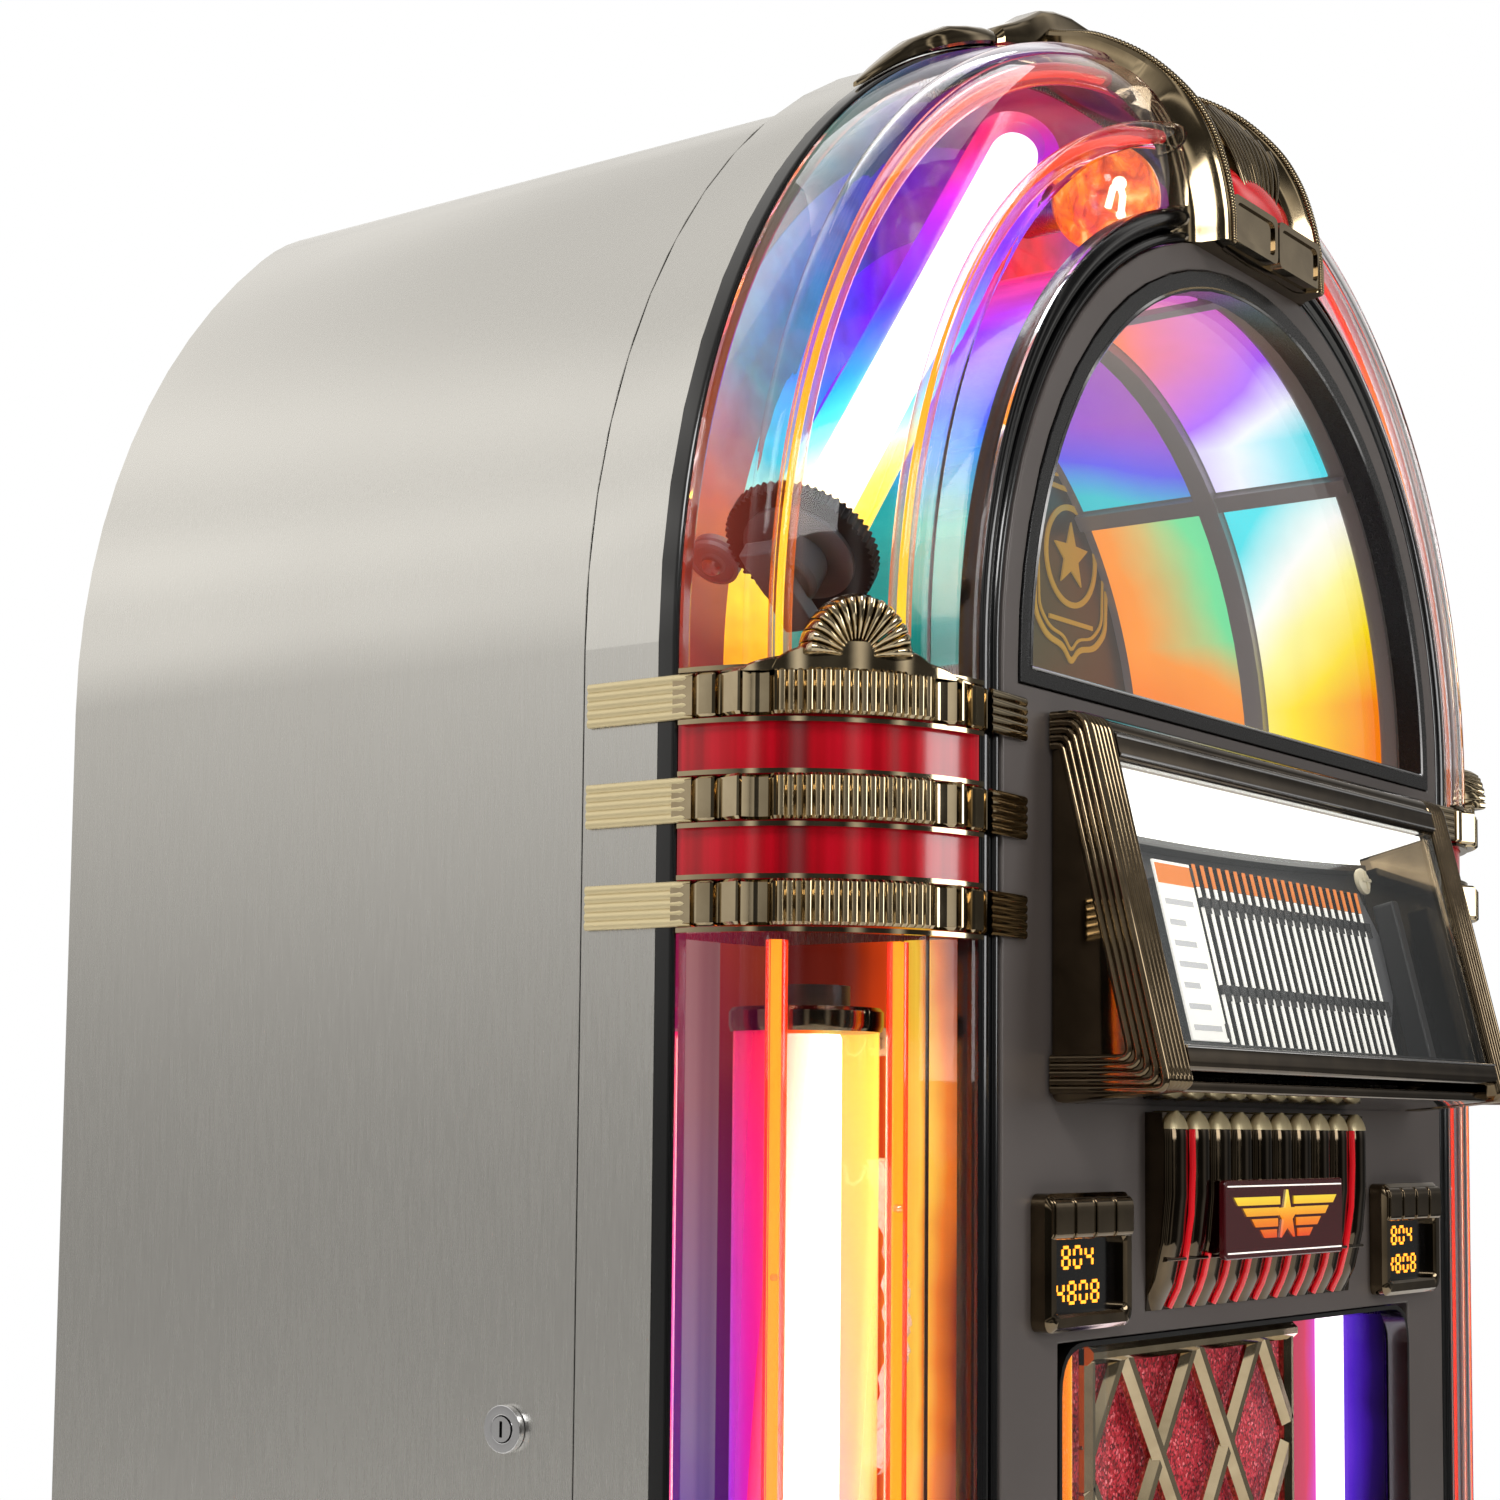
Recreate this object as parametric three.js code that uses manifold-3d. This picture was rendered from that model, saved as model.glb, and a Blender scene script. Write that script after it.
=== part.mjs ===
// A free-standing arched jukebox: a metal-skinned cabinet and a full-height front door
// that carries the lit arch, the pilasters, the domed window and the title display.
// Millimetres, +Z up, +X to the right seen from the front, the front faces -Y,
// origin on the floor under the middle of the overall box.
import * as THREE from "three";
import { mergeVertices } from "three/addons/utils/BufferGeometryUtils.js";
import Module from "manifold-3d";

const wasm = await Module();
wasm.setup();

// ---- Driving dimensions ----
const HALF_WIDTH = 415;
const ARCH_Z = 1072;
const ARCH_STEPS = 64;
const GAP = 0.3;
const FRONT_Y = -240;
const REAR_Y = 311;
const SEAM_Y = -77;
const SKIN_FRONT_Y = -124;
const SKIN = 15;
const TRIM_Y = SKIN_FRONT_Y - 11;
const DOOR_BOTTOM_Z = 152;
const PLINTH_BOTTOM_Z = 20;
const PLINTH_TOP_Z = 150;
const FLAT_TOP_Z = 1410;
const CROWN_TOP_Z = 1519;

const PANEL_HALF = 282;
const PANEL_THICK = 12;
const WINDOW_R = 266;
const WINDOW_BOTTOM_Z = 1062;
const DOME_R = 269;
const DOME_WALL = 7;
const DOME_BACK_Y = -22;

const LOWER_OPENING_HALF = 225.6;
const LOWER_OPENING_Z = [200, 726];

const COVER_INNER_R = 303;
const COVER_SPREAD = 110;
const COVER_DEPTH = 103.7;
const COVER_WALL = 4;

const BAND_TOPS = [1054, 1003.5, 953];
const BAND_HEIGHT = 22;
const BAND_OUT = 5.6;
const RED_BOTTOM_Z = 931;

const LAMP_X = 345;
const LAMP_Y = -165;
const LAMP_R = 18;
const LAMP_Z = [236, 905];
const SLEEVE_R = 35.5;
const SLEEVE_Z = [250, 894];
const BUBBLE_TUBE_R = 6;
const BUBBLE_TUBES = [[345, -219], [389, -178]];
const ARCH_LAMP_R = 358;
const ARCH_LAMP_LOW = THREE.MathUtils.degToRad(8);
const ARCH_LAMP_HIGH = THREE.MathUtils.degToRad(68);
const RING_GEAR_R = 40;
const RING_GEAR_TEETH = 36;
const DRIVE_ROLLER_R = 14;

const DISPLAY_HALF = 236;
const DISPLAY_INSIDE_HALF = 210;
const FACE_TILT = Math.atan2(44.5, 179);
const FACE_CENTRE = new THREE.Vector3(0, -286, 955.5);
const PAGE_AXIS_X = -131;
const PAGE_AXIS_DEPTH = 14;
const PAGE_WIDTH = 42;
const PAGE_LOW = -73;
const PAGE_HIGH = 28;
const LEAVES = 22;
const LEAF_PITCH = 10.2;

const HINGE_X = 417.9;
const HINGE_Y = SEAM_Y;
const HINGE_BOTTOM_Z = 200;
const KNUCKLE = 140;
const KNUCKLES = 5;

const LOCK_Y = -34;
const LOCK_Z = 684;
const DECK_Z = 760;
const DECK_TOP_Z = DECK_Z + 15;
const MAGAZINE_X = -70;
const MAGAZINE_Y = 120;
const MAGAZINE_R = 150;
const MAGAZINE_Z = [800, 900];
const ARM_X = 165;
const ARM_Y = 60;
const ARM_REACH = 120;

const GRILLE_HALF = 132;
const LATTICE_HALF = 130;
const LATTICE_Z = [205, 716];
const WOOFER_Z = 430;
const WOOFER_R = 74;

const FOOT_X = 345;
const FOOT_Y = -170;
const ROLLER_X = 350;
const ROLLER_Y = 255;
const ROLLER_R = 30;

const SIDES = [["left", -1], ["right", 1]];

// ---- Finishes ----
function finish(color, roughness, metalness, opacity = 1) {
  const transparent = opacity < 1;
  return new THREE.MeshStandardMaterial({ color, roughness, metalness, opacity, transparent });
}

const METAL_SKIN = finish(0xa9a59f, 0.38, 1);
const BOARD = finish(0x2a2724, 0.8, 0);
const CHARCOAL = finish(0x4b4440, 0.55, 0.2);
const BLACK_GLOSS = finish(0x08080a, 0.15, 0);
const GOLD_CHROME = finish(0x9c8760, 0.12, 1);
const STEEL = finish(0x9a9a9c, 0.35, 1);
const CLEAR = finish(0xf4f6f8, 0.05, 0, 0.35);
const CRIMSON = finish(0xa00a18, 0.15, 0, 0.8);
const AMBER = finish(0xff8a1c, 0.15, 0, 0.6);
const LAMP_WHITE = finish(0xfff2cf, 0.4, 0);
const RAINBOW = finish(0x8a5cd8, 0.2, 0, 0.6);
const RED_CLOTH = finish(0x8a1016, 0.9, 0);
const PAPER = finish(0xf2efe8, 0.8, 0);
const DARK_PLASTIC = finish(0x1c1b1d, 0.45, 0);
const CREAM = finish(0xe6dfcc, 0.5, 0);
const RUBBER = finish(0x18181a, 0.9, 0);

// ---- Solid helpers ----
function signedVolume(geometry) {
  const p = geometry.attributes.position;
  const index = geometry.index;
  const [a, b, c] = [new THREE.Vector3(), new THREE.Vector3(), new THREE.Vector3()];
  let total = 0;
  for (let i = 0; i < index.count; i += 3) {
    a.fromBufferAttribute(p, index.getX(i));
    b.fromBufferAttribute(p, index.getX(i + 1));
    c.fromBufferAttribute(p, index.getX(i + 2));
    total += a.dot(b.cross(c));
  }
  return total / 6;
}

// One closed geometry with shared corners and its faces pointing out.
function closed(geometry) {
  geometry.deleteAttribute("normal");
  geometry.deleteAttribute("uv");
  const merged = mergeVertices(geometry, 1e-4);
  if (signedVolume(merged) < 0) {
    const index = merged.index.array;
    for (let i = 0; i < index.length; i += 3) {
      [index[i + 1], index[i + 2]] = [index[i + 2], index[i + 1]];
    }
  }
  return merged;
}

function solid(geometry) {
  const merged = closed(geometry);
  return new wasm.Manifold(new wasm.Mesh({
    numProp: 3,
    vertProperties: new Float32Array(merged.attributes.position.array),
    triVerts: new Uint32Array(merged.index.array),
  }));
}

function surface(body) {
  const mesh = body.getMesh();
  const geometry = new THREE.BufferGeometry();
  geometry.setAttribute("position", new THREE.BufferAttribute(new Float32Array(mesh.vertProperties), 3));
  geometry.setIndex(new THREE.BufferAttribute(new Uint32Array(mesh.triVerts), 1));
  return geometry;
}

function joined(bodies) {
  return bodies.reduce((whole, body) => whole.add(body));
}

function flipped(geometry, sign) {
  return sign < 0 ? geometry.scale(-1, 1, 1) : geometry;
}

function block(x0, x1, y0, y1, z0, z1) {
  const geometry = new THREE.BoxGeometry(x1 - x0, y1 - y0, z1 - z0);
  return geometry.translate((x0 + x1) / 2, (y0 + y1) / 2, (z0 + z1) / 2);
}

function outline(points) {
  return new THREE.Shape(points.map(([u, v]) => new THREE.Vector2(u, v)));
}

// An arc in a shape takes twice curveSegments steps, so a half circle matches half a turned hoop.
function extruded(shape, depth, curveSegments = ARCH_STEPS / 4) {
  return new THREE.ExtrudeGeometry(shape, { depth, bevelEnabled: false, curveSegments });
}

// A shape drawn in X and Y, standing from z0 to z1.
function slabZ(shape, z0, z1) {
  return extruded(shape, z1 - z0).translate(0, 0, z0);
}

// A shape drawn in X and Z, running from y0 back to y1.
function slabY(shape, y0, y1) {
  return extruded(shape, y1 - y0).rotateX(Math.PI / 2).translate(0, y1, 0);
}

// A shape drawn in Y and Z, running from x0 to x1.
function slabX(shape, x0, x1) {
  const turn = new THREE.Matrix4().makeBasis(
    new THREE.Vector3(0, 1, 0),
    new THREE.Vector3(0, 0, 1),
    new THREE.Vector3(1, 0, 0),
  );
  return extruded(shape, x1 - x0).applyMatrix4(turn).translate(x0, 0, 0);
}

// A profile of [radius, height] points turned about the local Y axis.
function turned(profile, steps) {
  return new THREE.LatheGeometry(profile.map(([r, h]) => new THREE.Vector2(r, h)), steps);
}

function ring(inner, outer, low, high, steps = 24) {
  return turned([[inner, low], [outer, low], [outer, high], [inner, high], [inner, low]], steps);
}

function drum(radius, low, high, steps = 20) {
  return turned([[0, low], [radius, low], [radius, high], [0, high]], steps);
}

// A [radius, y] section carried up both sides and over the arch.
function archRun(section, bottomZ) {
  const loop = [...section, section[0]];
  const hoop = solid(turned(loop, ARCH_STEPS).translate(0, 0, ARCH_Z));
  const span = 2 * HALF_WIDTH;
  const upper = hoop.intersect(solid(block(-span, span, -span, span, ARCH_Z, ARCH_Z + span)));
  const legs = SIDES.map(([, sign]) => {
    return solid(flipped(slabZ(outline(section), bottomZ, ARCH_Z + 0.1), sign));
  });
  return joined([upper, ...legs]);
}

// A half disc over a short straight foot, centred on the arch.
function domeShape(radius, bottomZ) {
  const shape = new THREE.Shape();
  shape.moveTo(radius, bottomZ);
  shape.lineTo(radius, ARCH_Z);
  shape.absarc(0, ARCH_Z, radius, 0, Math.PI, false);
  shape.lineTo(-radius, bottomZ);
  shape.closePath();
  return shape;
}

// ---- Assembly ----
const jukebox = new THREE.Group();

function add(name, body, material, parent = jukebox) {
  const geometry = body.isBufferGeometry ? closed(body) : surface(body);
  const mesh = new THREE.Mesh(geometry, material);
  mesh.name = name;
  parent.add(mesh);
  return mesh;
}

// The cabinet outline: straight sides, the arch up to 48 degrees, then a flat top.
function cabinetShape(inset) {
  const half = HALF_WIDTH - inset;
  const top = FLAT_TOP_Z - inset;
  const turn = THREE.MathUtils.degToRad(48);
  const [endX, endZ] = [half * Math.cos(turn), ARCH_Z + half * Math.sin(turn)];
  const kneeX = endX - (top - endZ) * Math.tan(turn);
  const flatHalf = 215;
  const bottom = PLINTH_TOP_Z + GAP + inset;
  const shape = new THREE.Shape();
  shape.moveTo(half, bottom);
  shape.lineTo(half, ARCH_Z);
  shape.absarc(0, ARCH_Z, half, 0, turn, false);
  shape.quadraticCurveTo(kneeX, top, flatHalf, top);
  shape.lineTo(-flatHalf, top);
  shape.quadraticCurveTo(-kneeX, top, -endX, endZ);
  shape.absarc(0, ARCH_Z, half, Math.PI - turn, Math.PI, false);
  shape.lineTo(-half, bottom);
  shape.closePath();
  return shape;
}

function cabinetSlab(inset, y0, y1) {
  return extruded(cabinetShape(inset), y1 - y0, 6).rotateX(Math.PI / 2).translate(0, y1, 0);
}

function addCabinet() {
  const lockHole = drum(9.8, -30, 30).rotateZ(Math.PI / 2).translate(-HALF_WIDTH, LOCK_Y, LOCK_Z);
  const shell = solid(cabinetSlab(0, SEAM_Y + GAP, REAR_Y))
    .subtract(solid(cabinetSlab(SKIN, SEAM_Y - 10, REAR_Y + 10)))
    .subtract(solid(lockHole));
  add("cabinet_shell", shell, METAL_SKIN);

  let panel = solid(cabinetSlab(SKIN + 0.6, REAR_Y - 17, REAR_Y - 7));
  for (let row = 0; row < 5; row += 1) {
    const low = 1180 + row * 24;
    panel = panel.subtract(solid(block(-150, 150, REAR_Y - 30, REAR_Y, low, low + 8)));
  }
  panel = panel.subtract(solid(block(224, 276, REAR_Y - 30, REAR_Y, 214, 246)));
  add("rear_panel", panel, BOARD);

  const inlet = solid(block(225, 275, REAR_Y - 40, REAR_Y - 6, 215, 245))
    .add(solid(block(216, 284, REAR_Y - 6.7, REAR_Y - 2, 206, 254)))
    .subtract(solid(block(234, 266, REAR_Y - 22, REAR_Y, 221, 239)));
  add("power_inlet", inlet, DARK_PLASTIC);

  add("mechanism_deck", block(-399, 399, -60, 290, DECK_Z, DECK_TOP_Z), BOARD);
  const fins = [solid(block(-300, -60, 60, 260, 167, 260))];
  for (let fin = 0; fin < 9; fin += 1) {
    const x = -292 + fin * 27;
    fins.push(solid(block(x, x + 8, 70, 250, 259, 285)));
  }
  add("amplifier", joined(fins), DARK_PLASTIC);
}

function addPlinth() {
  const corner = 100;
  const shape = new THREE.Shape();
  shape.moveTo(-400, 300);
  shape.lineTo(-400, -228 + corner);
  shape.absarc(-400 + corner, -228 + corner, corner, Math.PI, 1.5 * Math.PI, false);
  shape.absarc(400 - corner, -228 + corner, corner, 1.5 * Math.PI, 2 * Math.PI, false);
  shape.lineTo(400, 300);
  shape.closePath();
  const body = extruded(shape, PLINTH_TOP_Z - PLINTH_BOTTOM_Z, 8).translate(0, 0, PLINTH_BOTTOM_Z);
  let plinth = solid(body).subtract(solid(block(-300, 300, -120, 230, 0, PLINTH_TOP_Z - 20)));
  for (const [, sign] of SIDES) {
    const stemHole = drum(6.6, 0, 56).rotateX(Math.PI / 2).translate(sign * FOOT_X, FOOT_Y, 0);
    const wheelWell = block(-14, 14, -36, 36, 0, ROLLER_R + 34).translate(sign * ROLLER_X, ROLLER_Y, 0);
    const axleHole = drum(4.6, -31, 31).rotateZ(Math.PI / 2)
      .translate(sign * ROLLER_X, ROLLER_Y, ROLLER_R);
    plinth = plinth.subtract(solid(stemHole)).subtract(solid(wheelWell)).subtract(solid(axleHole));
  }
  add("plinth", plinth, BLACK_GLOSS);

  const footProfile = [[0, 0], [25, 0], [25, 7], [10, 12], [6, 14], [6, 52], [0, 52]];
  const rollerProfile = [
    [0, -28], [4, -28], [4, -11.5], [ROLLER_R, -11.5], [ROLLER_R, 11.5], [4, 11.5], [4, 28], [0, 28],
  ];
  for (const [side, sign] of SIDES) {
    const foot = add(`levelling_foot_${side}`, turned(footProfile, 20), STEEL);
    foot.position.set(sign * FOOT_X, FOOT_Y, 0);
    foot.rotation.x = Math.PI / 2;
    const roller = add(`rear_roller_${side}`, turned(rollerProfile, 20), RUBBER);
    roller.position.set(sign * ROLLER_X, ROLLER_Y, ROLLER_R);
    roller.rotation.z = Math.PI / 2;
  }
}

function addLock() {
  const housing = solid(turned(
    [[6.9, -4], [12, -4], [12, 0], [9.4, 0], [9.4, 30], [6.9, 30], [6.9, -4]], 24));
  const plug = joined([
    solid(drum(6.4, -4.6, 34)),
    solid(block(-6, 6, 31, 34, -6, 30)),
  ]).subtract(solid(block(-0.9, 0.9, -6, 3, -4, 4)));
  const place = (mesh) => {
    mesh.position.set(-HALF_WIDTH - GAP, LOCK_Y, LOCK_Z);
    mesh.rotation.z = -Math.PI / 2;
  };
  place(add("lock_housing", housing, STEEL));
  place(add("lock_cylinder", plug, STEEL));
}

function addHinge() {
  const leafIn = HALF_WIDTH + GAP;
  const leafOut = leafIn + 1.2;
  const top = HINGE_BOTTOM_Z + KNUCKLE * KNUCKLES;
  const upright = (geometry) => geometry.rotateX(Math.PI / 2);
  const knuckle = (i) => {
    const low = HINGE_BOTTOM_Z + i * KNUCKLE + 0.2;
    return solid(upright(drum(2.6, 0, KNUCKLE - 0.4, 12)).translate(HINGE_X, HINGE_Y, low));
  };
  const tongue = (i, y0, y1) => {
    const low = HINGE_BOTTOM_Z + i * KNUCKLE + 0.2;
    return solid(block(leafIn, leafOut, y0, y1, low, low + KNUCKLE - 0.4));
  };
  const pin = solid(upright(drum(1.1, 0, top - HINGE_BOTTOM_Z, 12))
    .translate(HINGE_X, HINGE_Y, HINGE_BOTTOM_Z));
  const bore = solid(upright(drum(1.5, 0, top, 12)).translate(HINGE_X, HINGE_Y, 0));
  const fixed = [solid(block(leafIn, leafOut, -73.5, -58, HINGE_BOTTOM_Z, top)), pin];
  const moving = [solid(block(leafIn, leafOut, -96, -80.5, HINGE_BOTTOM_Z, top))];
  for (let i = 0; i < KNUCKLES; i += 1) {
    if (i % 2 === 0) {
      fixed.push(knuckle(i), tongue(i, HINGE_Y, -73));
    } else {
      moving.push(knuckle(i), tongue(i, -81, HINGE_Y));
    }
  }
  add("cabinet_hinge_leaf", joined(fixed), STEEL);
  add("door_hinge_leaf", joined(moving).subtract(bore), STEEL);
}

function addMechanism() {
  const upright = (geometry) => geometry.rotateX(Math.PI / 2);
  const slots = 24;
  const slotDepth = 22;
  const [magazineLow, magazineHigh] = MAGAZINE_Z;
  const teeth = [];
  for (let i = 0; i < slots * 4; i += 1) {
    const r = i % 4 < 2 ? MAGAZINE_R : MAGAZINE_R - slotDepth;
    const angle = (2 * Math.PI * i) / (slots * 4);
    teeth.push([r * Math.cos(angle), r * Math.sin(angle)]);
  }
  const hollow = drum(60, magazineLow + 12, magazineHigh + 2);
  const spindle = drum(14, DECK_TOP_Z + 1, magazineLow + 6);
  const magazine = solid(slabZ(outline(teeth), magazineLow, magazineHigh))
    .subtract(solid(upright(hollow)))
    .add(solid(upright(spindle)));
  add("cd_magazine", magazine, DARK_PLASTIC).position.set(MAGAZINE_X, MAGAZINE_Y, 0);

  // The gripper passes just over the magazine.
  const beamZ = DECK_TOP_Z + 150;
  const arm = joined([
    solid(upright(drum(14, DECK_TOP_Z + 1, beamZ + 10))),
    solid(block(-12, 12, 0, ARM_REACH, beamZ, beamZ + 12)),
    solid(block(-5, 5, ARM_REACH - 20, ARM_REACH, magazineHigh + 4, beamZ + 1)),
  ]);
  add("transfer_arm", arm, STEEL).position.set(ARM_X, ARM_Y, 0);

  const player = solid(block(215, 375, 150, 280, DECK_TOP_Z + GAP, DECK_TOP_Z + 70))
    .add(solid(upright(drum(18, DECK_TOP_Z + 69, DECK_TOP_Z + 81)).translate(295, 215, 0)));
  add("cd_player", player, DARK_PLASTIC);
}

// A point on the bulging cover section, t = 0 at its rear edge and PI/2 at its inner edge.
function coverPoint(t, offset) {
  const normal = new THREE.Vector2(Math.cos(t) / COVER_SPREAD, -Math.sin(t) / COVER_DEPTH).normalize();
  return [
    COVER_INNER_R + COVER_SPREAD * Math.cos(t) + normal.x * offset,
    TRIM_Y - GAP - COVER_DEPTH * Math.sin(t) + normal.y * offset,
  ];
}

function coverCurve(offset, steps) {
  const points = [];
  for (let i = 0; i <= steps; i += 1) {
    points.push(coverPoint((i / steps) * Math.PI / 2, offset));
  }
  return points;
}

function coverSection() {
  return [...coverCurve(0, 6), ...coverCurve(-COVER_WALL, 6).reverse()];
}

function addDoorFrame() {
  const [skinIn, wallIn, wallOut] = [HALF_WIDTH - SKIN, 272, 278];
  const back = SEAM_Y - GAP;
  const panelBack = FRONT_Y + PANEL_THICK + GAP;
  const channel = [
    [HALF_WIDTH, SKIN_FRONT_Y], [HALF_WIDTH, back], [wallIn, back], [wallIn, panelBack],
    [wallOut, panelBack], [wallOut, back - 7], [skinIn, back - 7], [skinIn, SKIN_FRONT_Y],
  ];
  const rail = solid(block(-wallIn - 1, wallIn + 1, panelBack, back, DOOR_BOTTOM_Z, DOOR_BOTTOM_Z + 20));
  add("door_frame", archRun(channel, DOOR_BOTTOM_Z).add(rail), METAL_SKIN);

  const rim = SKIN_FRONT_Y - GAP;
  const outer = [[HALF_WIDTH, TRIM_Y], [HALF_WIDTH, rim], [402, rim], [402, TRIM_Y]];
  add("outer_trim", archRun(outer, DOOR_BOTTOM_Z), BLACK_GLOSS);

  const [trimIn, trimOut] = [PANEL_HALF + GAP, COVER_INNER_R - 0.5];
  const inner = [[trimOut, FRONT_Y], [trimOut, -226], [trimIn, -226], [trimIn, FRONT_Y]];
  add("inner_trim", archRun(inner, DOOR_BOTTOM_Z), BLACK_GLOSS);

  const arch = archRun(coverSection(), BAND_TOPS[0] + 0.5);
  add("arch_cover", arch, CLEAR);
  const section = outline(coverSection());
  for (const [side, sign] of SIDES) {
    const lower = slabZ(section, DOOR_BOTTOM_Z, RED_BOTTOM_Z - 1);
    add(`pilaster_cover_${side}`, flipped(lower, sign), CLEAR);
    const red = slabZ(section, RED_BOTTOM_Z, BAND_TOPS[0]);
    add(`red_section_${side}`, flipped(red, sign), CRIMSON);
  }
}

// The front panel with the window, the display opening and the speaker opening.
function addFrontPanel() {
  const shape = domeShape(PANEL_HALF, DOOR_BOTTOM_Z);
  const panel = solid(slabY(shape, FRONT_Y, FRONT_Y + PANEL_THICK))
    .subtract(solid(slabY(domeShape(WINDOW_R, WINDOW_BOTTOM_Z), FRONT_Y - 5, FRONT_Y + 20)))
    .subtract(solid(block(-212, 212, FRONT_Y - 5, FRONT_Y + 20, 862, 1036)))
    .subtract(solid(block(
      -LOWER_OPENING_HALF, LOWER_OPENING_HALF, FRONT_Y - 5, FRONT_Y + 20, ...LOWER_OPENING_Z)));
  add("front_panel", panel, CHARCOAL);

  const gasket = solid(slabY(domeShape(WINDOW_R - 0.4, WINDOW_BOTTOM_Z + 0.4), -241, -226))
    .subtract(solid(slabY(domeShape(254, ARCH_Z), -250, -220)));
  add("window_gasket", gasket, RUBBER);
  add("window_glass", slabY(domeShape(262, 1066), -225.6, -221.6), CLEAR);

  const domeFront = -221.2;
  const inner = DOME_R - DOME_WALL;
  const floorZ = 1058;
  const midY = (domeFront + DOME_BACK_Y) / 2;
  let liner = solid(slabY(domeShape(DOME_R, floorZ), domeFront, DOME_BACK_Y))
    .subtract(solid(slabY(domeShape(inner, floorZ + 6), domeFront - 5, DOME_BACK_Y + 5)));
  const rib = solid(slabY(domeShape(inner + 1, floorZ + 5), midY - 7, midY + 7))
    .subtract(solid(slabY(domeShape(inner - 7, floorZ + 8), midY - 20, midY + 20)));
  liner = liner.add(rib);
  for (const degrees of [45, 90, 135]) {
    const bar = block(inner - 5, inner + 3, domeFront, DOME_BACK_Y, -6, 6);
    bar.rotateY(-THREE.MathUtils.degToRad(degrees)).translate(0, 0, ARCH_Z);
    liner = liner.add(solid(bar));
  }
  add("dome_liner", liner, CHARCOAL);
  add("dome_rear_wall", slabY(domeShape(DOME_R, floorZ), DOME_BACK_Y + GAP, DOME_BACK_Y + 6), BOARD);
}

// A casting across one pilaster: side strap, fluted bulge and a tip on the front panel.
function bandShape() {
  const steps = 14;
  const outerCurve = [];
  for (let i = 0; i <= steps; i += 1) {
    const t = (i / steps) * Math.PI / 2;
    outerCurve.push(coverPoint(t, 7.6 + 1.4 * Math.sin(t)));
  }
  const strapOut = HALF_WIDTH + BAND_OUT;
  const strapIn = HALF_WIDTH + 0.4;
  const tipX = 262;
  const panelGap = FRONT_Y - 0.4;
  return outline([
    [strapOut, SEAM_Y - 4], [strapOut, TRIM_Y - 4], ...outerCurve.slice(1),
    [tipX, FRONT_Y - 8], [tipX, panelGap], [COVER_INNER_R, panelGap],
    ...coverCurve(1.4, steps).reverse().slice(1), [strapIn, TRIM_Y - GAP], [strapIn, SEAM_Y - 4],
  ]);
}

// The fan of ribs that crowns the top band, facing out of the bulge.
function fanShell() {
  const [x, y] = coverPoint(THREE.MathUtils.degToRad(50), 5);
  const fan = new THREE.Shape();
  const ribs = 9;
  fan.moveTo(27, -6);
  for (let i = 0; i <= ribs * 2; i += 1) {
    const angle = (i / (ribs * 2)) * Math.PI;
    const r = i % 2 === 0 ? 25 : 28;
    fan.lineTo(r * Math.cos(angle), r * Math.sin(angle));
  }
  fan.lineTo(-27, -6);
  fan.closePath();
  const plate = extruded(fan, 9).translate(0, 0, -4.5).rotateX(Math.PI / 2);
  return plate.rotateZ(THREE.MathUtils.degToRad(42)).translate(x, y, BAND_TOPS[0]);
}

function addBands() {
  const names = ["upper", "middle", "lower"];
  BAND_TOPS.forEach((top, level) => {
    for (const [side, sign] of SIDES) {
      let band = solid(flipped(slabZ(bandShape(), top - BAND_HEIGHT, top), sign));
      if (level === 0) {
        band = band.add(solid(flipped(fanShell(), sign)));
      }
      add(`${names[level]}_band_${side}`, band, GOLD_CHROME);
    }
  });
}

// The crown: two wings over the outer trim and a strap down the front of the arch.
function addCrown() {
  const seat = HALF_WIDTH + 0.8;
  const wing = new THREE.Shape();
  const [tipX, tipZ] = [246, 1409];
  const start = Math.atan2(tipZ - ARCH_Z, tipX);
  wing.moveTo(tipX, tipZ + 2);
  wing.quadraticCurveTo(205, 1462, 141, 1476);
  wing.quadraticCurveTo(80, 1490, 52, CROWN_TOP_Z - 6);
  wing.lineTo(28, CROWN_TOP_Z);
  wing.lineTo(-28, CROWN_TOP_Z);
  wing.lineTo(-52, CROWN_TOP_Z - 6);
  wing.quadraticCurveTo(-80, 1490, -141, 1476);
  wing.quadraticCurveTo(-205, 1462, -tipX, tipZ + 2);
  wing.absarc(0, ARCH_Z, seat, Math.PI - start, start, true);
  wing.closePath();
  const wings = solid(extruded(wing, 26, 12).rotateX(Math.PI / 2).translate(0, -112, 0));

  const strapHalf = 62;
  const hoop = [
    [430, -112], [430, -140], ...coverCurve(10, 8).slice(1), [268, FRONT_Y - 9], [268, FRONT_Y - 0.4],
    ...coverCurve(1.6, 8).reverse(), [seat, TRIM_Y - GAP], [seat, -112], [430, -112],
  ];
  const reach = solid(block(-strapHalf, strapHalf, -300, 0, ARCH_Z + 150, CROWN_TOP_Z));
  const strap = solid(turned(hoop, ARCH_STEPS * 2).translate(0, 0, ARCH_Z)).intersect(reach);
  add("crown", wings.add(strap), GOLD_CHROME);
}

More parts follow.
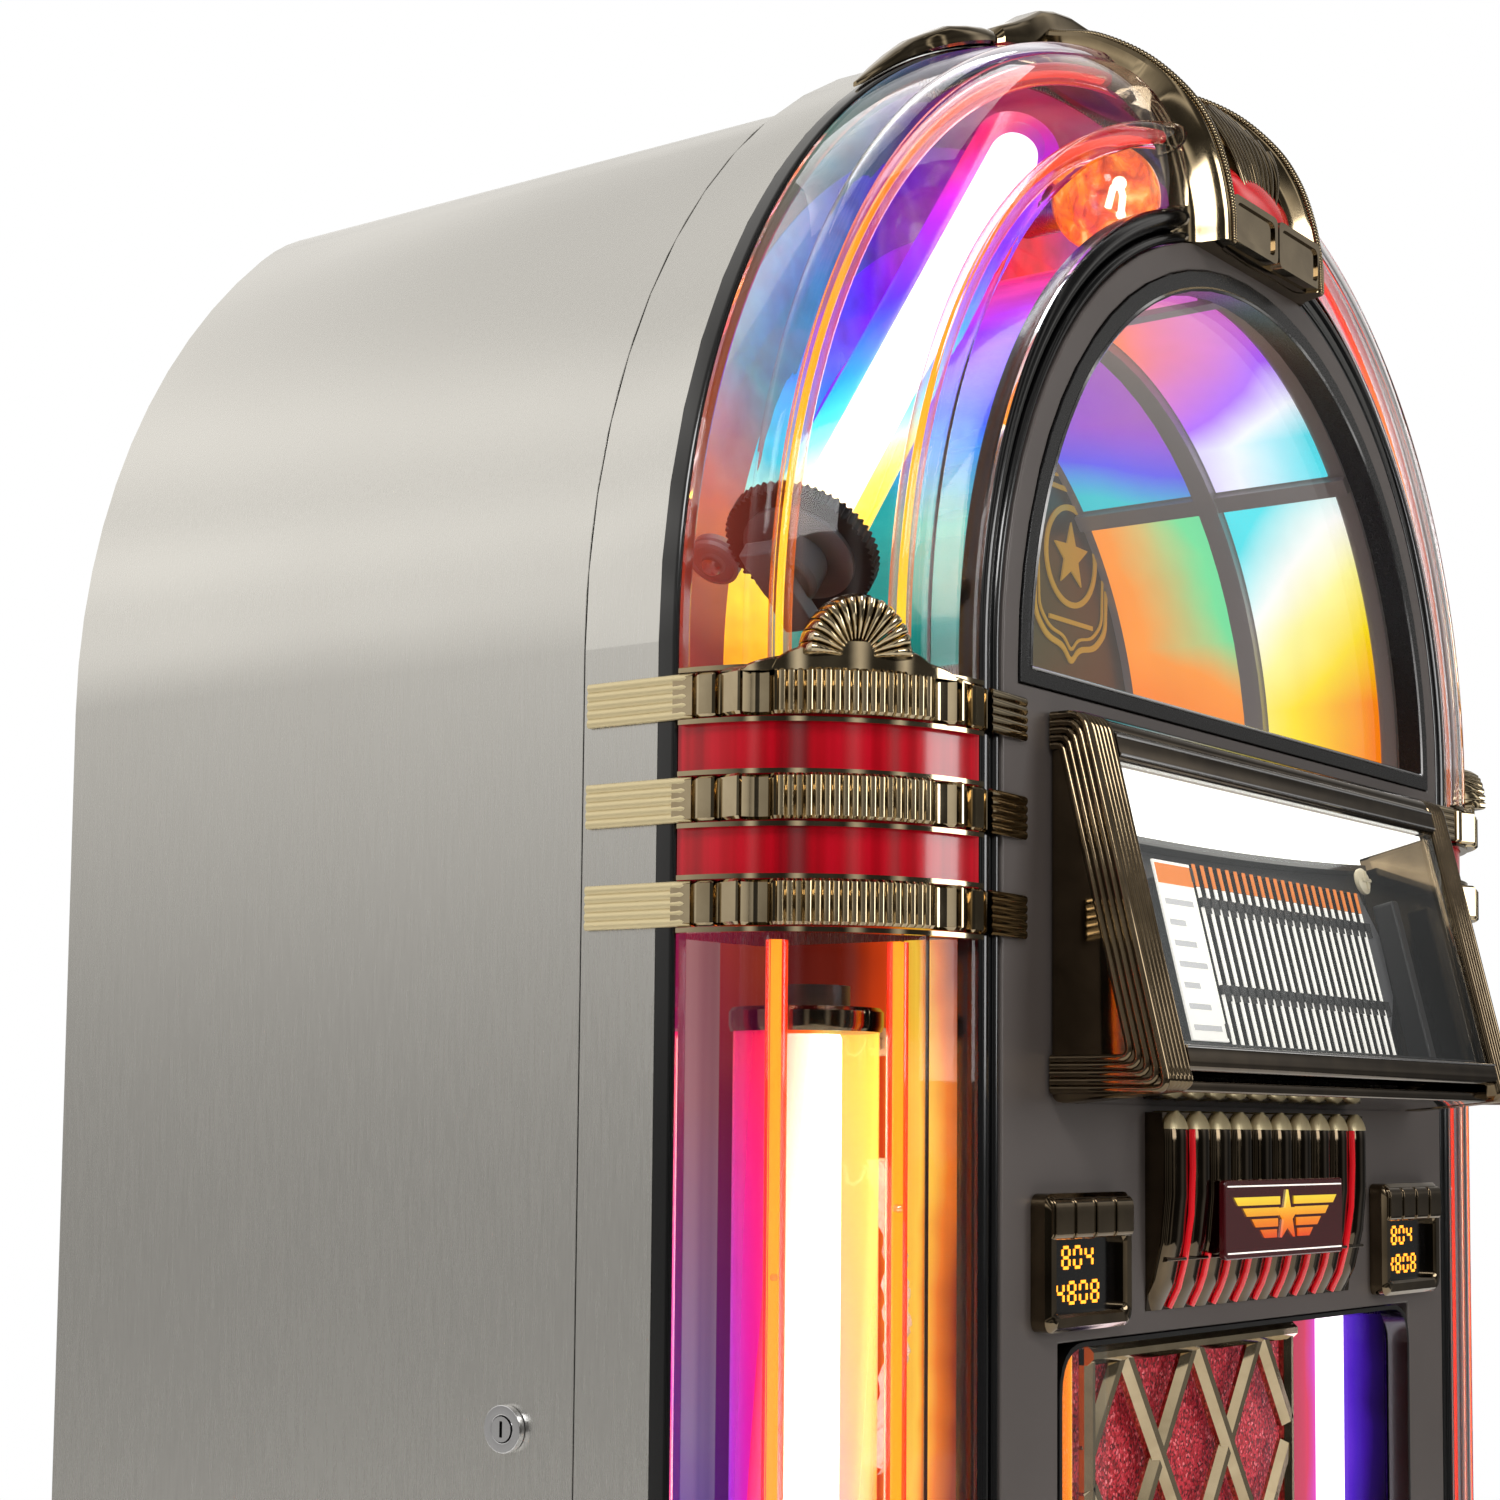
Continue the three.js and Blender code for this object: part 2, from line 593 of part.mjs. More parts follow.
// Everything that leans with the display face is built in a group turned to its tilt.
function addDisplay() {
  const face = new THREE.Group();
  face.position.copy(FACE_CENTRE);
  face.rotation.x = -FACE_TILT;
  jukebox.add(face);

  const side = outline([
    [FRONT_Y - GAP, 1051], [-257, 1051], [-264, 1045], [-308.5, 866], [-311, 860], [-306, 855],
    [FRONT_Y - GAP, 848],
  ]);
  const inside = DISPLAY_INSIDE_HALF;
  const cavity = block(-inside, inside, -30, 200, -78, 74)
    .rotateX(-FACE_TILT).translate(...FACE_CENTRE.toArray());
  const housing = solid(slabX(side, -DISPLAY_HALF, DISPLAY_HALF)).subtract(solid(cavity));
  add("display_housing", housing, GOLD_CHROME);
  add("display_glass", block(-inside + 0.4, inside - 0.4, 3, 6, -77.6, 73.6), CLEAR, face);

  const rackDepth = PAGE_AXIS_DEPTH + PAGE_WIDTH + 2;
  const rack = [solid(block(-inside + 5, inside - 5, rackDepth, rackDepth + 4, -74, 66))];
  for (let i = 0; i < LEAVES; i += 1) {
    const x = PAGE_AXIS_X + 5 + i * LEAF_PITCH;
    rack.push(solid(block(x, x + 2, PAGE_AXIS_DEPTH - 2, rackDepth + 1, PAGE_LOW, PAGE_HIGH)));
  }
  add("title_rack", joined(rack), PAPER, face);

  const page = solid(block(-PAGE_WIDTH, 0, -0.8, 0.8, PAGE_LOW + 1, PAGE_HIGH - 1))
    .add(solid(drum(1.5, PAGE_LOW, PAGE_HIGH, 10).rotateX(Math.PI / 2)));
  add("title_page", page, PAPER, face).position.set(PAGE_AXIS_X, PAGE_AXIS_DEPTH, 0);
}

function addFrontTrim() {
  const profile = outline([
    [FRONT_Y - GAP, 846], [-255, 846], [-255, 800], [-252, 770], [-246, 748], [FRONT_Y - GAP, 736],
  ]);
  let grille = solid(slabX(profile, -GRILLE_HALF, GRILLE_HALF));
  const flutes = 13;
  const pitch = (2 * GRILLE_HALF) / flutes;
  for (let i = 1; i < flutes; i += 1) {
    const x = -GRILLE_HALF + i * pitch;
    grille = grille.subtract(solid(block(x - 2, x + 2, -260, -251, 730, 850)));
  }
  add("fluted_grille", grille, GOLD_CHROME);
  add("badge_plate", block(-78, 78, -259, -255.3, 764, 808), GOLD_CHROME);

  const displayProfile = outline([
    [FRONT_Y - GAP, 803], [-249, 803], [-251, 798], [-251, 780], [-248, 778], [-248, 738], [-246, 733],
    [FRONT_Y - GAP, 733],
  ]);
  for (const [side, sign] of SIDES) {
    add(`credit_display_${side}`, flipped(slabX(displayProfile, 165, 254), sign), DARK_PLASTIC);
  }
}

function addSpeaker() {
  const half = LATTICE_HALF;
  const [low, high] = LATTICE_Z;
  const frameBar = 9;
  const topBar = 18;
  const field = solid(block(-half, half, -204, -198, low, high));
  const hole = block(-half + frameBar, half - frameBar, -210, -190, low + frameBar, high - topBar);
  const bars = [field.subtract(solid(hole))];
  const [stepX, rise] = [87, 127];
  const slope = Math.atan2(rise, stepX);
  for (const lean of [1, -1]) {
    for (let i = -6; i <= 6; i += 1) {
      const bar = block(-500, 500, -203, -199, -3, 3);
      bar.rotateY(-lean * slope).translate(i * stepX, 0, (low + high) / 2);
      bars.push(solid(bar).intersect(field));
    }
  }
  add("lattice_grille", joined(bars.filter((bar) => !bar.isEmpty())), GOLD_CHROME);

  const baffle = solid(block(-268, 268, -190, -178, 176, 852))
    .subtract(solid(drum(WOOFER_R, -200, -170, 24).translate(0, 0, WOOFER_Z)));
  add("speaker_baffle", baffle, RED_CLOTH);
  const cone = [
    [0, -146], [24, -142], [WOOFER_R - 2, -176], [95, -177.6], [95, -172],
    [62, -122], [48, -120], [48, -98], [0, -98],
  ];
  add("woofer", turned(cone, 20).translate(0, 0, WOOFER_Z), DARK_PLASTIC);
}

function ringGear() {
  const points = [];
  for (let i = 0; i < RING_GEAR_TEETH * 2; i += 1) {
    const r = i % 2 === 0 ? RING_GEAR_R : RING_GEAR_R - 2;
    const angle = (Math.PI * i) / RING_GEAR_TEETH;
    points.push([r * Math.cos(angle), r * Math.sin(angle)]);
  }
  return extruded(outline(points), 9).rotateX(Math.PI / 2);
}

function addLighting() {
  const chord = 2 * ARCH_LAMP_R * Math.sin((ARCH_LAMP_HIGH - ARCH_LAMP_LOW) / 2);
  const tube = turned([[0, 0], [11, 0], [14, 4], [14, chord - 8], [11, chord - 4], [0, chord - 4]], 16);
  const [wall, flange] = [SLEEVE_R + 2, SLEEVE_R + 3.5];
  const [sleeveLow, sleeveHigh] = SLEEVE_Z;
  const sleeveProfile = [
    [SLEEVE_R, sleeveLow], [wall, sleeveLow], [wall, sleeveHigh - 6], [flange, sleeveHigh - 6],
    [flange, sleeveHigh], [SLEEVE_R, sleeveHigh], [SLEEVE_R, sleeveLow],
  ];
  for (const [side, sign] of SIDES) {
    const lamp = drum(LAMP_R, ...LAMP_Z, 18).rotateX(Math.PI / 2).translate(sign * LAMP_X, LAMP_Y, 0);
    add(`lamp_${side}`, lamp, LAMP_WHITE);
    const sleeve = turned(sleeveProfile, 24).rotateX(Math.PI / 2).translate(sign * LAMP_X, LAMP_Y, 0);
    add(`colour_sleeve_${side}`, sleeve, RAINBOW);

    const [[innerX, innerY], [outerX, outerY]] = BUBBLE_TUBES;
    const along = new THREE.Vector2(outerX - innerX, outerY - innerY).normalize().multiplyScalar(5.5);
    const base = outline([
      [innerX + along.y, innerY - along.x], [outerX + along.y, outerY - along.x],
      [outerX - along.y, outerY + along.x], [innerX - along.y, innerY + along.x],
    ]);
    const pair = [solid(flipped(slabZ(base, 180, 197), sign))];
    for (const [x, y] of BUBBLE_TUBES) {
      const bubbleTube = drum(BUBBLE_TUBE_R, 196, 925, 12).rotateX(Math.PI / 2);
      pair.push(solid(bubbleTube.translate(sign * x, y, 0)));
    }
    add(`bubble_tubes_${side}`, joined(pair), AMBER);

    const low = new THREE.Vector3(sign * ARCH_LAMP_R * Math.cos(ARCH_LAMP_LOW), LAMP_Y,
      ARCH_Z + ARCH_LAMP_R * Math.sin(ARCH_LAMP_LOW));
    const high = new THREE.Vector3(sign * ARCH_LAMP_R * Math.cos(ARCH_LAMP_HIGH), LAMP_Y,
      ARCH_Z + ARCH_LAMP_R * Math.sin(ARCH_LAMP_HIGH));
    const lean = new THREE.Quaternion().setFromUnitVectors(
      new THREE.Vector3(0, 1, 0), high.clone().sub(low).normalize());
    const place = (mesh, shiftY = 0) => {
      mesh.position.set(low.x, low.y + shiftY, low.z);
      mesh.quaternion.copy(lean);
    };
    place(add(`arch_lamp_${side}`, tube.clone(), LAMP_WHITE));
    const colour = solid(ring(24.5, 26.5, 2, chord - 14))
      .add(solid(ringGear().translate(0, 9, 0)).subtract(solid(drum(25, -50, 50, 24))));
    place(add(`arch_sleeve_${side}`, colour, RAINBOW));
    const roller = turned([[0, -2], [3, -2], [3, 0], [DRIVE_ROLLER_R, 0], [DRIVE_ROLLER_R, 9],
      [3, 9], [3, 12], [0, 12]], 24);
    place(add(`drive_roller_${side}`, roller, CREAM), RING_GEAR_R + DRIVE_ROLLER_R + 0.5);
  }
}

addCabinet();
addPlinth();
addLock();
addHinge();
addMechanism();
addDoorFrame();
addFrontPanel();
addBands();
addCrown();
addDisplay();
addFrontTrim();
addSpeaker();
addLighting();

export default jukebox;
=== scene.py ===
"""The jukebox's looks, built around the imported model. Lengths in this script are millimetres, and
piece() writes every mesh in metres in the model's own frame: +Z up, the front faces -Y."""
import math

import bmesh
import bpy
from mathutils import Matrix, Vector


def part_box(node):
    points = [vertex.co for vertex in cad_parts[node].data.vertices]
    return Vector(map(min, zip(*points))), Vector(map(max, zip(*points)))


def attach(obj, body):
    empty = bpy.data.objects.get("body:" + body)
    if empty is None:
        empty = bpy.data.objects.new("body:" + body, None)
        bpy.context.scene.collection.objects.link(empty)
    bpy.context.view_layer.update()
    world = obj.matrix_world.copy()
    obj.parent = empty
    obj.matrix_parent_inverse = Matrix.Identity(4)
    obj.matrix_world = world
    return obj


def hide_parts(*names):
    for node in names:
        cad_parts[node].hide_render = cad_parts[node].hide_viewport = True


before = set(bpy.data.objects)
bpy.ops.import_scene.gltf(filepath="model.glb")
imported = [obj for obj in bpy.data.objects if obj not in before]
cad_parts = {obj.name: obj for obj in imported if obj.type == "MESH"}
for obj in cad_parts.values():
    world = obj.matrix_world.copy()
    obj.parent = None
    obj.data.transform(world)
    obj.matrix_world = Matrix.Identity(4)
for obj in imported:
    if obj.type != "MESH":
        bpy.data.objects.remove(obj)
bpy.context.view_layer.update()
SCALE = 0.001


def box(node):
    low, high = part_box(node)
    return low / SCALE, high / SCALE


# ---- Driving dimensions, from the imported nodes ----
FRAME_LOW, FRAME_HIGH = box("door_frame")
HALF_WIDTH = FRAME_HIGH.x
ARCH_Z = FRAME_HIGH.z - HALF_WIDTH
DOOR_BOTTOM_Z = FRAME_LOW.z
SEAM_Y = FRAME_HIGH.y
PANEL_LOW, PANEL_HIGH = box("front_panel")
FRONT_Y = PANEL_LOW.y
PANEL_HALF = PANEL_HIGH.x
TRIM_LOW, TRIM_HIGH = box("outer_trim")
TRIM_Y = TRIM_LOW.y
INNER_TRIM_R = box("inner_trim")[1].x
CAVITY_BACK_Y = SEAM_Y - 7.6
CAVITY_OUT, CAVITY_IN = HALF_WIDTH - 15.6, 278.6
COVER_INNER_R = INNER_TRIM_R + 0.5
COVER_REAR_Y = TRIM_Y - 0.3
COVER_SPREAD = box("arch_cover")[1].x - COVER_INNER_R
COVER_DEPTH = COVER_REAR_Y - box("arch_cover")[0].y
COVER_WALL = 3.0
RIDGE_DEGREES, RIDGE_HALF, RIDGE_RISE = (23, 67), 3.6, 4.0
BAND_LEVELS = ("upper", "middle", "lower")
BAND_TOPS = (1054.0, box("middle_band_left")[1].z, box("lower_band_left")[1].z)
BAND_HEIGHT = BAND_TOPS[1] - box("middle_band_left")[0].z
RED_BOTTOM_Z = box("red_section_left")[0].z
WINDOW_R = box("window_gasket")[1].x
TUBES = ((345, -219), (389, -178))
LAMP_X, LAMP_Y = 345, -165
ARCH_LAMP_R, ARCH_LAMP_ANGLES = 358, (math.radians(8), math.radians(68))
ARCH_CHORD = 2 * ARCH_LAMP_R * math.sin((ARCH_LAMP_ANGLES[1] - ARCH_LAMP_ANGLES[0]) / 2)
DOME_FRONT_Y, DOME_BACK_Y = -206, -30
SIDES = (("left", -1), ("right", 1))
ARC_STEPS, COVER_STEPS = 96, 90
LYING = Matrix.Rotation(math.pi / 2, 4, "X")


# ---- Shape helpers: each shape is (points, faces) ----
def merged(*shapes):
    """Several shapes as one."""
    points, faces = [], []
    for some_points, some_faces in shapes:
        start = len(points)
        points += some_points
        faces += [tuple(i + start for i in face) for face in some_faces]
    return points, faces


def moved(shape, matrix):
    return [tuple(matrix @ Vector(p)) for p in shape[0]], shape[1]


def mirrored(shape, sign):
    if sign > 0:
        return shape
    return [(-x, y, z) for x, y, z in shape[0]], [face[::-1] for face in shape[1]]


def lofted(rings, closed_ring=True, caps=True, closed_path=False):
    """Joins rings of equal length into one skin."""
    count = len(rings[0])
    points = [p for ring in rings for p in ring]
    faces = []
    spans = len(rings) if closed_path else len(rings) - 1
    for i in range(spans):
        a, b = i * count, ((i + 1) % len(rings)) * count
        for j in range(count if closed_ring else count - 1):
            k = (j + 1) % count
            faces.append((a + j, a + k, b + k, b + j))
    if caps and closed_ring and not closed_path:
        faces.append(tuple(range(count))[::-1])
        faces.append(tuple(range(len(points) - count, len(points))))
    return points, faces


def prism(outline, axis, low, high):
    """An outline drawn in the two axes after the named one, carried from low to high."""
    order = {"x": (2, 0, 1), "y": (0, 2, 1), "z": (0, 1, 2)}[axis]
    return lofted([[tuple((u, v, w)[i] for i in order) for u, v in outline] for w in (low, high)])


def rectangle(u0, u1, v0, v1):
    return [(u0, v0), (u1, v0), (u1, v1), (u0, v1)]


def slab(x0, x1, y0, y1, z0, z1):
    return prism(rectangle(x0, x1, y0, y1), "z", z0, z1)


def surround(*steps):
    """A closed frame on the XZ plane, through (outline, y) steps from its outer back to its inner back."""
    return lofted([[(x, y, z) for x, z in line] for line, y in steps], caps=False, closed_path=True)


def revolved(profile, steps=48):
    """A profile of (radius, height) points turned about +Z."""
    turns = [2 * math.pi * i / steps for i in range(steps)]
    rings = [[(r * math.cos(a), r * math.sin(a), h) for r, h in profile] for a in turns]
    return lofted(rings, closed_ring=False, caps=False, closed_path=True)


def tube(path, radius, sides=16):
    """A round tube along a list of points, with flat ends."""
    rings, normal = [], None
    path = [Vector(p) for p in path]
    turns = [2 * math.pi * k / sides for k in range(sides)]
    for i, point in enumerate(path):
        along = (path[min(i + 1, len(path) - 1)] - path[max(i - 1, 0)]).normalized()
        if normal is None:
            normal = along.orthogonal().normalized()
        normal = (normal - along * normal.dot(along)).normalized()
        u, v = normal * radius, along.cross(normal) * radius
        rings.append([tuple(point + u * math.cos(a) + v * math.sin(a)) for a in turns])
    return lofted(rings)


def ball(centre, radius, steps=14):
    turns = [math.pi * i / steps for i in range(steps + 1)]
    profile = [(radius * math.sin(a), -radius * math.cos(a)) for a in turns]
    return moved(revolved(profile, 2 * steps), Matrix.Translation(centre))


def arch_arc():
    """(angle, z) stations over the arch, from right to left."""
    return [(math.pi * i / ARC_STEPS, ARCH_Z) for i in range(ARC_STEPS + 1)]


def arch_stations(bottom_z):
    """(angle, z) stations up the right side, over the arch and down the left side."""
    return arch_arc() if bottom_z >= ARCH_Z else [(0, bottom_z), *arch_arc(), (math.pi, bottom_z)]


def swept(section, stations):
    """A (radius, y) section carried through (angle, z) stations."""
    return lofted([[(r * math.cos(a), y, z + r * math.sin(a)) for r, y in section] for a, z in stations])


def rounded_corner(before, here, after, radius, steps):
    """A curve that cuts the corner at here, on the way from before to after."""
    here = Vector(here)
    back, on = Vector(before) - here, Vector(after) - here
    size = min(radius, back.length / 2, on.length / 2)
    a, b = here + back.normalized() * size, here + on.normalized() * size
    shares = [k / steps for k in range(steps + 1)]
    return [tuple(a * (1 - t) ** 2 + here * 2 * t * (1 - t) + b * t * t) for t in shares]


def rounded(corners, radius, steps=4):
    """A closed outline with each corner rounded."""
    made = []
    for i, corner in enumerate(corners):
        made += rounded_corner(corners[i - 1], corner, corners[(i + 1) % len(corners)], radius, steps)
    return made


def rounded_line(points, radius, steps=5):
    """An open line with each inner corner rounded."""
    made = [tuple(points[0])]
    for before, here, after in zip(points, points[1:], points[2:]):
        made += rounded_corner(before, here, after, radius, steps)
    return made + [tuple(points[-1])]


def cover_point(t, offset=0.0):
    """A (radius, y) point on the bulging cover: t is 0 at its rear edge and pi/2 at its inner edge."""
    normal = Vector((math.cos(t) / COVER_SPREAD, -math.sin(t) / COVER_DEPTH)).normalized()
    r = COVER_INNER_R + COVER_SPREAD * math.cos(t) + normal.x * offset
    return r, COVER_REAR_Y - COVER_DEPTH * math.sin(t) + normal.y * offset


def ridge_lift(t):
    """The two raised ridges that run along the cover, over the bubble tubes."""
    aways = [(math.degrees(t) - degrees) / RIDGE_HALF for degrees in RIDGE_DEGREES]
    return max(RIDGE_RISE * math.sqrt(max(0.0, 1 - away * away)) for away in aways)


def cover_section(ridges=True):
    outer, inner = [], []
    for i in range(COVER_STEPS + 1):
        t = math.pi / 2 * i / COVER_STEPS
        lift = ridge_lift(t) if ridges else 0.0
        outer.append(cover_point(t, lift))
        inner.append(cover_point(t, lift - COVER_WALL))
    return outer + inner[::-1]


# ---- Pieces ----
def piece(name, shape, finish, slot, replaces=(), body="door", smooth=32, bevel=0.0):
    """Makes one piece from (points, faces) in millimetres and hangs it on its body."""
    points, faces = shape
    mesh = bpy.data.meshes.new(name)
    mesh.from_pydata([Vector(p) * SCALE for p in points], [], faces)
    made = bmesh.new()
    made.from_mesh(mesh)
    bmesh.ops.recalc_face_normals(made, faces=made.faces)
    made.to_mesh(mesh)
    made.free()
    mesh.shade_smooth()
    mesh.set_sharp_from_angle(angle=math.radians(smooth))
    obj = bpy.data.objects.new(name, mesh)
    bpy.context.scene.collection.objects.link(obj)
    mesh.materials.append(finish)
    if bevel:
        round_edges(obj, bevel)
    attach(obj, body)
    if replaces:
        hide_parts(*replaces)
    return obj


def local_piece(name, shape, finish, slot, matrix, **options):
    """A piece made in local coordinates and set in its place on the body it rides."""
    obj = piece(name, shape, finish, slot, **options)
    obj.matrix_world = matrix
    bpy.context.view_layer.update()


def round_edges(obj, width, segments=2):
    edge = obj.modifiers.new("rounded_edges", "BEVEL")
    edge.width = width * SCALE
    edge.segments = segments
    edge.limit_method = "ANGLE"
    edge.angle_limit = math.radians(35)


def keep(node, finish, bevel, segments=2):
    """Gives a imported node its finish, smooth curves and slightly rounded edges."""
    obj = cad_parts[node]
    mesh = obj.data
    mesh.materials.clear()
    mesh.materials.append(finish)
    custom = mesh.attributes.get("custom_normal")
    if custom:
        mesh.attributes.remove(custom)
    mesh.shade_smooth()
    shared = obj.modifiers.new("shared_corners", "WELD")
    shared.merge_threshold = 0.01 * SCALE
    round_edges(obj, bevel, segments)
    split = obj.modifiers.new("sharp_edges", "EDGE_SPLIT")
    split.split_angle = math.radians(32)
    flat = obj.modifiers.new("flat_faces", "WEIGHTED_NORMAL")
    flat.mode = "FACE_AREA"
    flat.weight = 100


# ---- Finishes ----
def srgb(red, green, blue):
    """A linear colour from 0-255 screen values."""
    def one(value):
        value /= 255
        return value / 12.92 if value <= 0.04045 else ((value + 0.055) / 1.055) ** 2.4
    return one(red), one(green), one(blue), 1.0


def set_stops(ramp, stops):
    """Gives a colour ramp its (place, colour) stops."""
    points = ramp.color_ramp.elements
    points[0].position, points[1].position = stops[0][0], stops[-1][0]
    for at, _ in stops[1:-1]:
        points.new(at)
    for point, (_, colour) in zip(points, stops):
        point.color = colour
    return ramp.outputs["Color"]


class Nodes:
    """A node tree, with its nodes made and joined in one call each."""

    def __init__(self, tree):
        self.tree = tree

    def node(self, kind, *inputs, **settings):
        """Adds a node; each input is another node's output, or a value."""
        made = self.tree.nodes.new(kind)
        for key, value in settings.items():
            setattr(made, key, value)
        for i, value in enumerate(inputs):
            self.give(made.inputs[i], value)
        return made

    def give(self, socket, value):
        if isinstance(value, bpy.types.NodeSocket):
            self.tree.links.new(value, socket)
        else:
            socket.default_value = value

    def math(self, operation, a, b=0.0):
        return self.node("ShaderNodeMath", a, b, operation=operation).outputs[0]

    def scaled(self, value, by, plus):
        return self.node("ShaderNodeMath", value, by, plus, operation="MULTIPLY_ADD").outputs[0]

    def mix(self, share, a, b, blend="MIX"):
        made = self.node("ShaderNodeMix", data_type="RGBA", blend_type=blend)
        for index, value in ((0, share), (6, a), (7, b)):
            self.give(made.inputs[index], value)
        return made.outputs[2]


class Finish(Nodes):
    """One Principled material whose detail comes from the piece's own coordinates."""

    def __init__(self, name, colour, roughness, metallic=0.0, **sockets):
        self.material = bpy.data.materials.new(name)
        self.material.use_nodes = True
        super().__init__(self.material.node_tree)
        self.shader = self.tree.nodes["Principled BSDF"]
        self.shader.inputs["Base Color"].default_value = srgb(*colour)
        self.shader.inputs["Roughness"].default_value = roughness
        self.shader.inputs["Metallic"].default_value = metallic
        for socket, value in sockets.items():
            self.shader.inputs[socket.replace("_", " ")].default_value = value
        self.place = self.tree.nodes.new("ShaderNodeTexCoord").outputs["Object"]
        self.split = None

    def axis(self, name):
        """One coordinate of the place on the object, in millimetres."""
        if self.split is None:
            self.split = self.node("ShaderNodeSeparateXYZ", self.place)
        return self.math("MULTIPLY", self.split.outputs[name], 1 / SCALE)

    def arch_angle(self):
        """0 at the foot of the arch on either side, 1 at its crown."""
        across = self.math("ABSOLUTE", self.axis("X"))
        up = self.math("SUBTRACT", self.axis("Z"), ARCH_Z)
        return self.math("DIVIDE", self.math("ARCTAN2", up, across), math.pi / 2)

    def turn_angle(self):
        """The angle about the piece's own Z axis, from -pi to pi."""
        return self.math("ARCTAN2", self.axis("Y"), self.axis("X"))

    def span(self, value, low, high):
        return self.node("ShaderNodeMapRange", value, low, high, 0.0, 1.0).outputs[0]

    def noise(self, scale, stretch=(1, 1, 1), detail=3.0, distortion=0.0):
        """Noise whose features are about 1 / scale metres across, longer where stretch is small."""
        spread = self.node("ShaderNodeMapping", self.place)
        spread.inputs["Scale"].default_value = stretch
        made = self.node("ShaderNodeTexNoise", spread.outputs[0])
        made.inputs["Scale"].default_value = scale
        made.inputs["Detail"].default_value = detail
        made.inputs["Distortion"].default_value = distortion
        return made.outputs["Fac"]

    def ramp(self, value, *stops):
        """Colours along a value; each stop is its place, then a screen colour."""
        return set_stops(self.node("ShaderNodeValToRGB", value), [(at, srgb(*rgb)) for at, *rgb in stops])

    def levels(self, value, *stops):
        """Greys along a value; each stop is its place, then a plain number."""
        return set_stops(self.node("ShaderNodeValToRGB", value), [(at, (v, v, v, 1)) for at, v in stops])

    def grey(self, value, low, high):
        return self.levels(value, (0.0, low), (1.0, high))

    def feed(self, socket, value):
        self.tree.links.new(value, self.shader.inputs[socket])
        return self

    def bump(self, height, depth, strength=1.0):
        """Raises the surface by up to depth millimetres."""
        made = self.node("ShaderNodeBump")
        made.inputs["Distance"].default_value = depth * SCALE
        made.inputs["Strength"].default_value = strength
        self.give(made.inputs["Height"], height)
        return self.feed("Normal", made.outputs[0])

    def glow(self, colour, strength):
        self.give(self.shader.inputs["Emission Color"], colour)
        self.shader.inputs["Emission Strength"].default_value = strength
        return self

    def edge_on(self, power=5.0):
        """0 where a surface is seen square on, rising to 1 where it is seen edge on."""
        seen = self.node("ShaderNodeLayerWeight", 0.5)
        return self.math("POWER", seen.outputs["Facing"], power)

    def denser_edge_on(self, power, gain, share, most):
        """A share of solid surface that grows towards the edges, up to most."""
        grown = self.math("ADD", self.math("MULTIPLY", self.edge_on(power), gain), share)
        return self.math("MINIMUM", grown, most)

    def see_through(self, solid_share):
        """Mixes the surface with plain transparency."""
        clear = self.node("ShaderNodeBsdfTransparent").outputs[0]
        both = self.node("ShaderNodeMixShader", solid_share, clear, self.shader.outputs[0])
        self.tree.links.new(both.outputs[0], self.tree.nodes["Material Output"].inputs["Surface"])
        return self


def brushed_skin():
    """Satin stainless sheet with short upright scratches and faint smudges."""
    made = Finish("brushed_skin", (206, 203, 197), 0.3, 1.0)
    grain = made.noise(900, (1, 1, 0.06), detail=5)
    cloud = made.noise(7, detail=2)
    shade = made.mix(made.grey(grain, 0.3, 0.7), srgb(182, 180, 175), srgb(214, 213, 209))
    made.feed("Base Color", made.mix(made.grey(cloud, 0.0, 0.3), shade, srgb(188, 186, 182)))
    made.feed("Roughness", made.grey(made.mix(0.4, grain, cloud), 0.2, 0.34))
    return made.bump(grain, 0.05, 0.5).material


def charcoal_paint():
    made = Finish("charcoal_paint", (88, 80, 77), 0.42, 0.15, Coat_Weight=0.12, Coat_Roughness=0.35)
    grain = made.noise(1400, detail=2)
    cloud = made.noise(9, detail=2)
    made.feed("Base Color", made.mix(made.grey(cloud, 0, 1), srgb(80, 73, 70), srgb(94, 87, 84)))
    made.feed("Roughness", made.grey(grain, 0.34, 0.5))
    return made.bump(grain, 0.06, 0.6).material


def gloss_black():
    made = Finish("gloss_black", (5, 5, 6), 0.16, Coat_Weight=0.3, Coat_Roughness=0.06)
    made.feed("Roughness", made.grey(made.noise(30, detail=4), 0.12, 0.22))
    return made.bump(made.noise(60, detail=1), 0.05, 0.25).material


def warm_mirror(name, colour, dark):
    """Bright warm plating: mirror smooth, a touch darker and duller in patches."""
    made = Finish(name, colour, 0.07, 1.0)
    cloud = made.noise(45, detail=4, distortion=0.4)
    made.feed("Base Color", made.mix(made.grey(cloud, 0, 1), srgb(*dark), srgb(*colour)))
    made.feed("Roughness", made.grey(cloud, 0.03, 0.13))
    return made.bump(made.noise(35, detail=1), 0.12, 0.2).material


def satin_gold():
    made = Finish("satin_gold", (214, 198, 156), 0.4, 0.45)
    grain = made.noise(600)
    made.feed("Roughness", made.grey(grain, 0.28, 0.46))
    return made.bump(grain, 0.04, 0.4).material


def steel(name, colour, roughness):
    made = Finish(name, colour, roughness, 1.0)
    grain = made.noise(500, (1, 1, 0.2), detail=4)
    made.feed("Roughness", made.grey(grain, roughness - 0.06, roughness + 0.12))
    return made.bump(grain, 0.03, 0.3).material


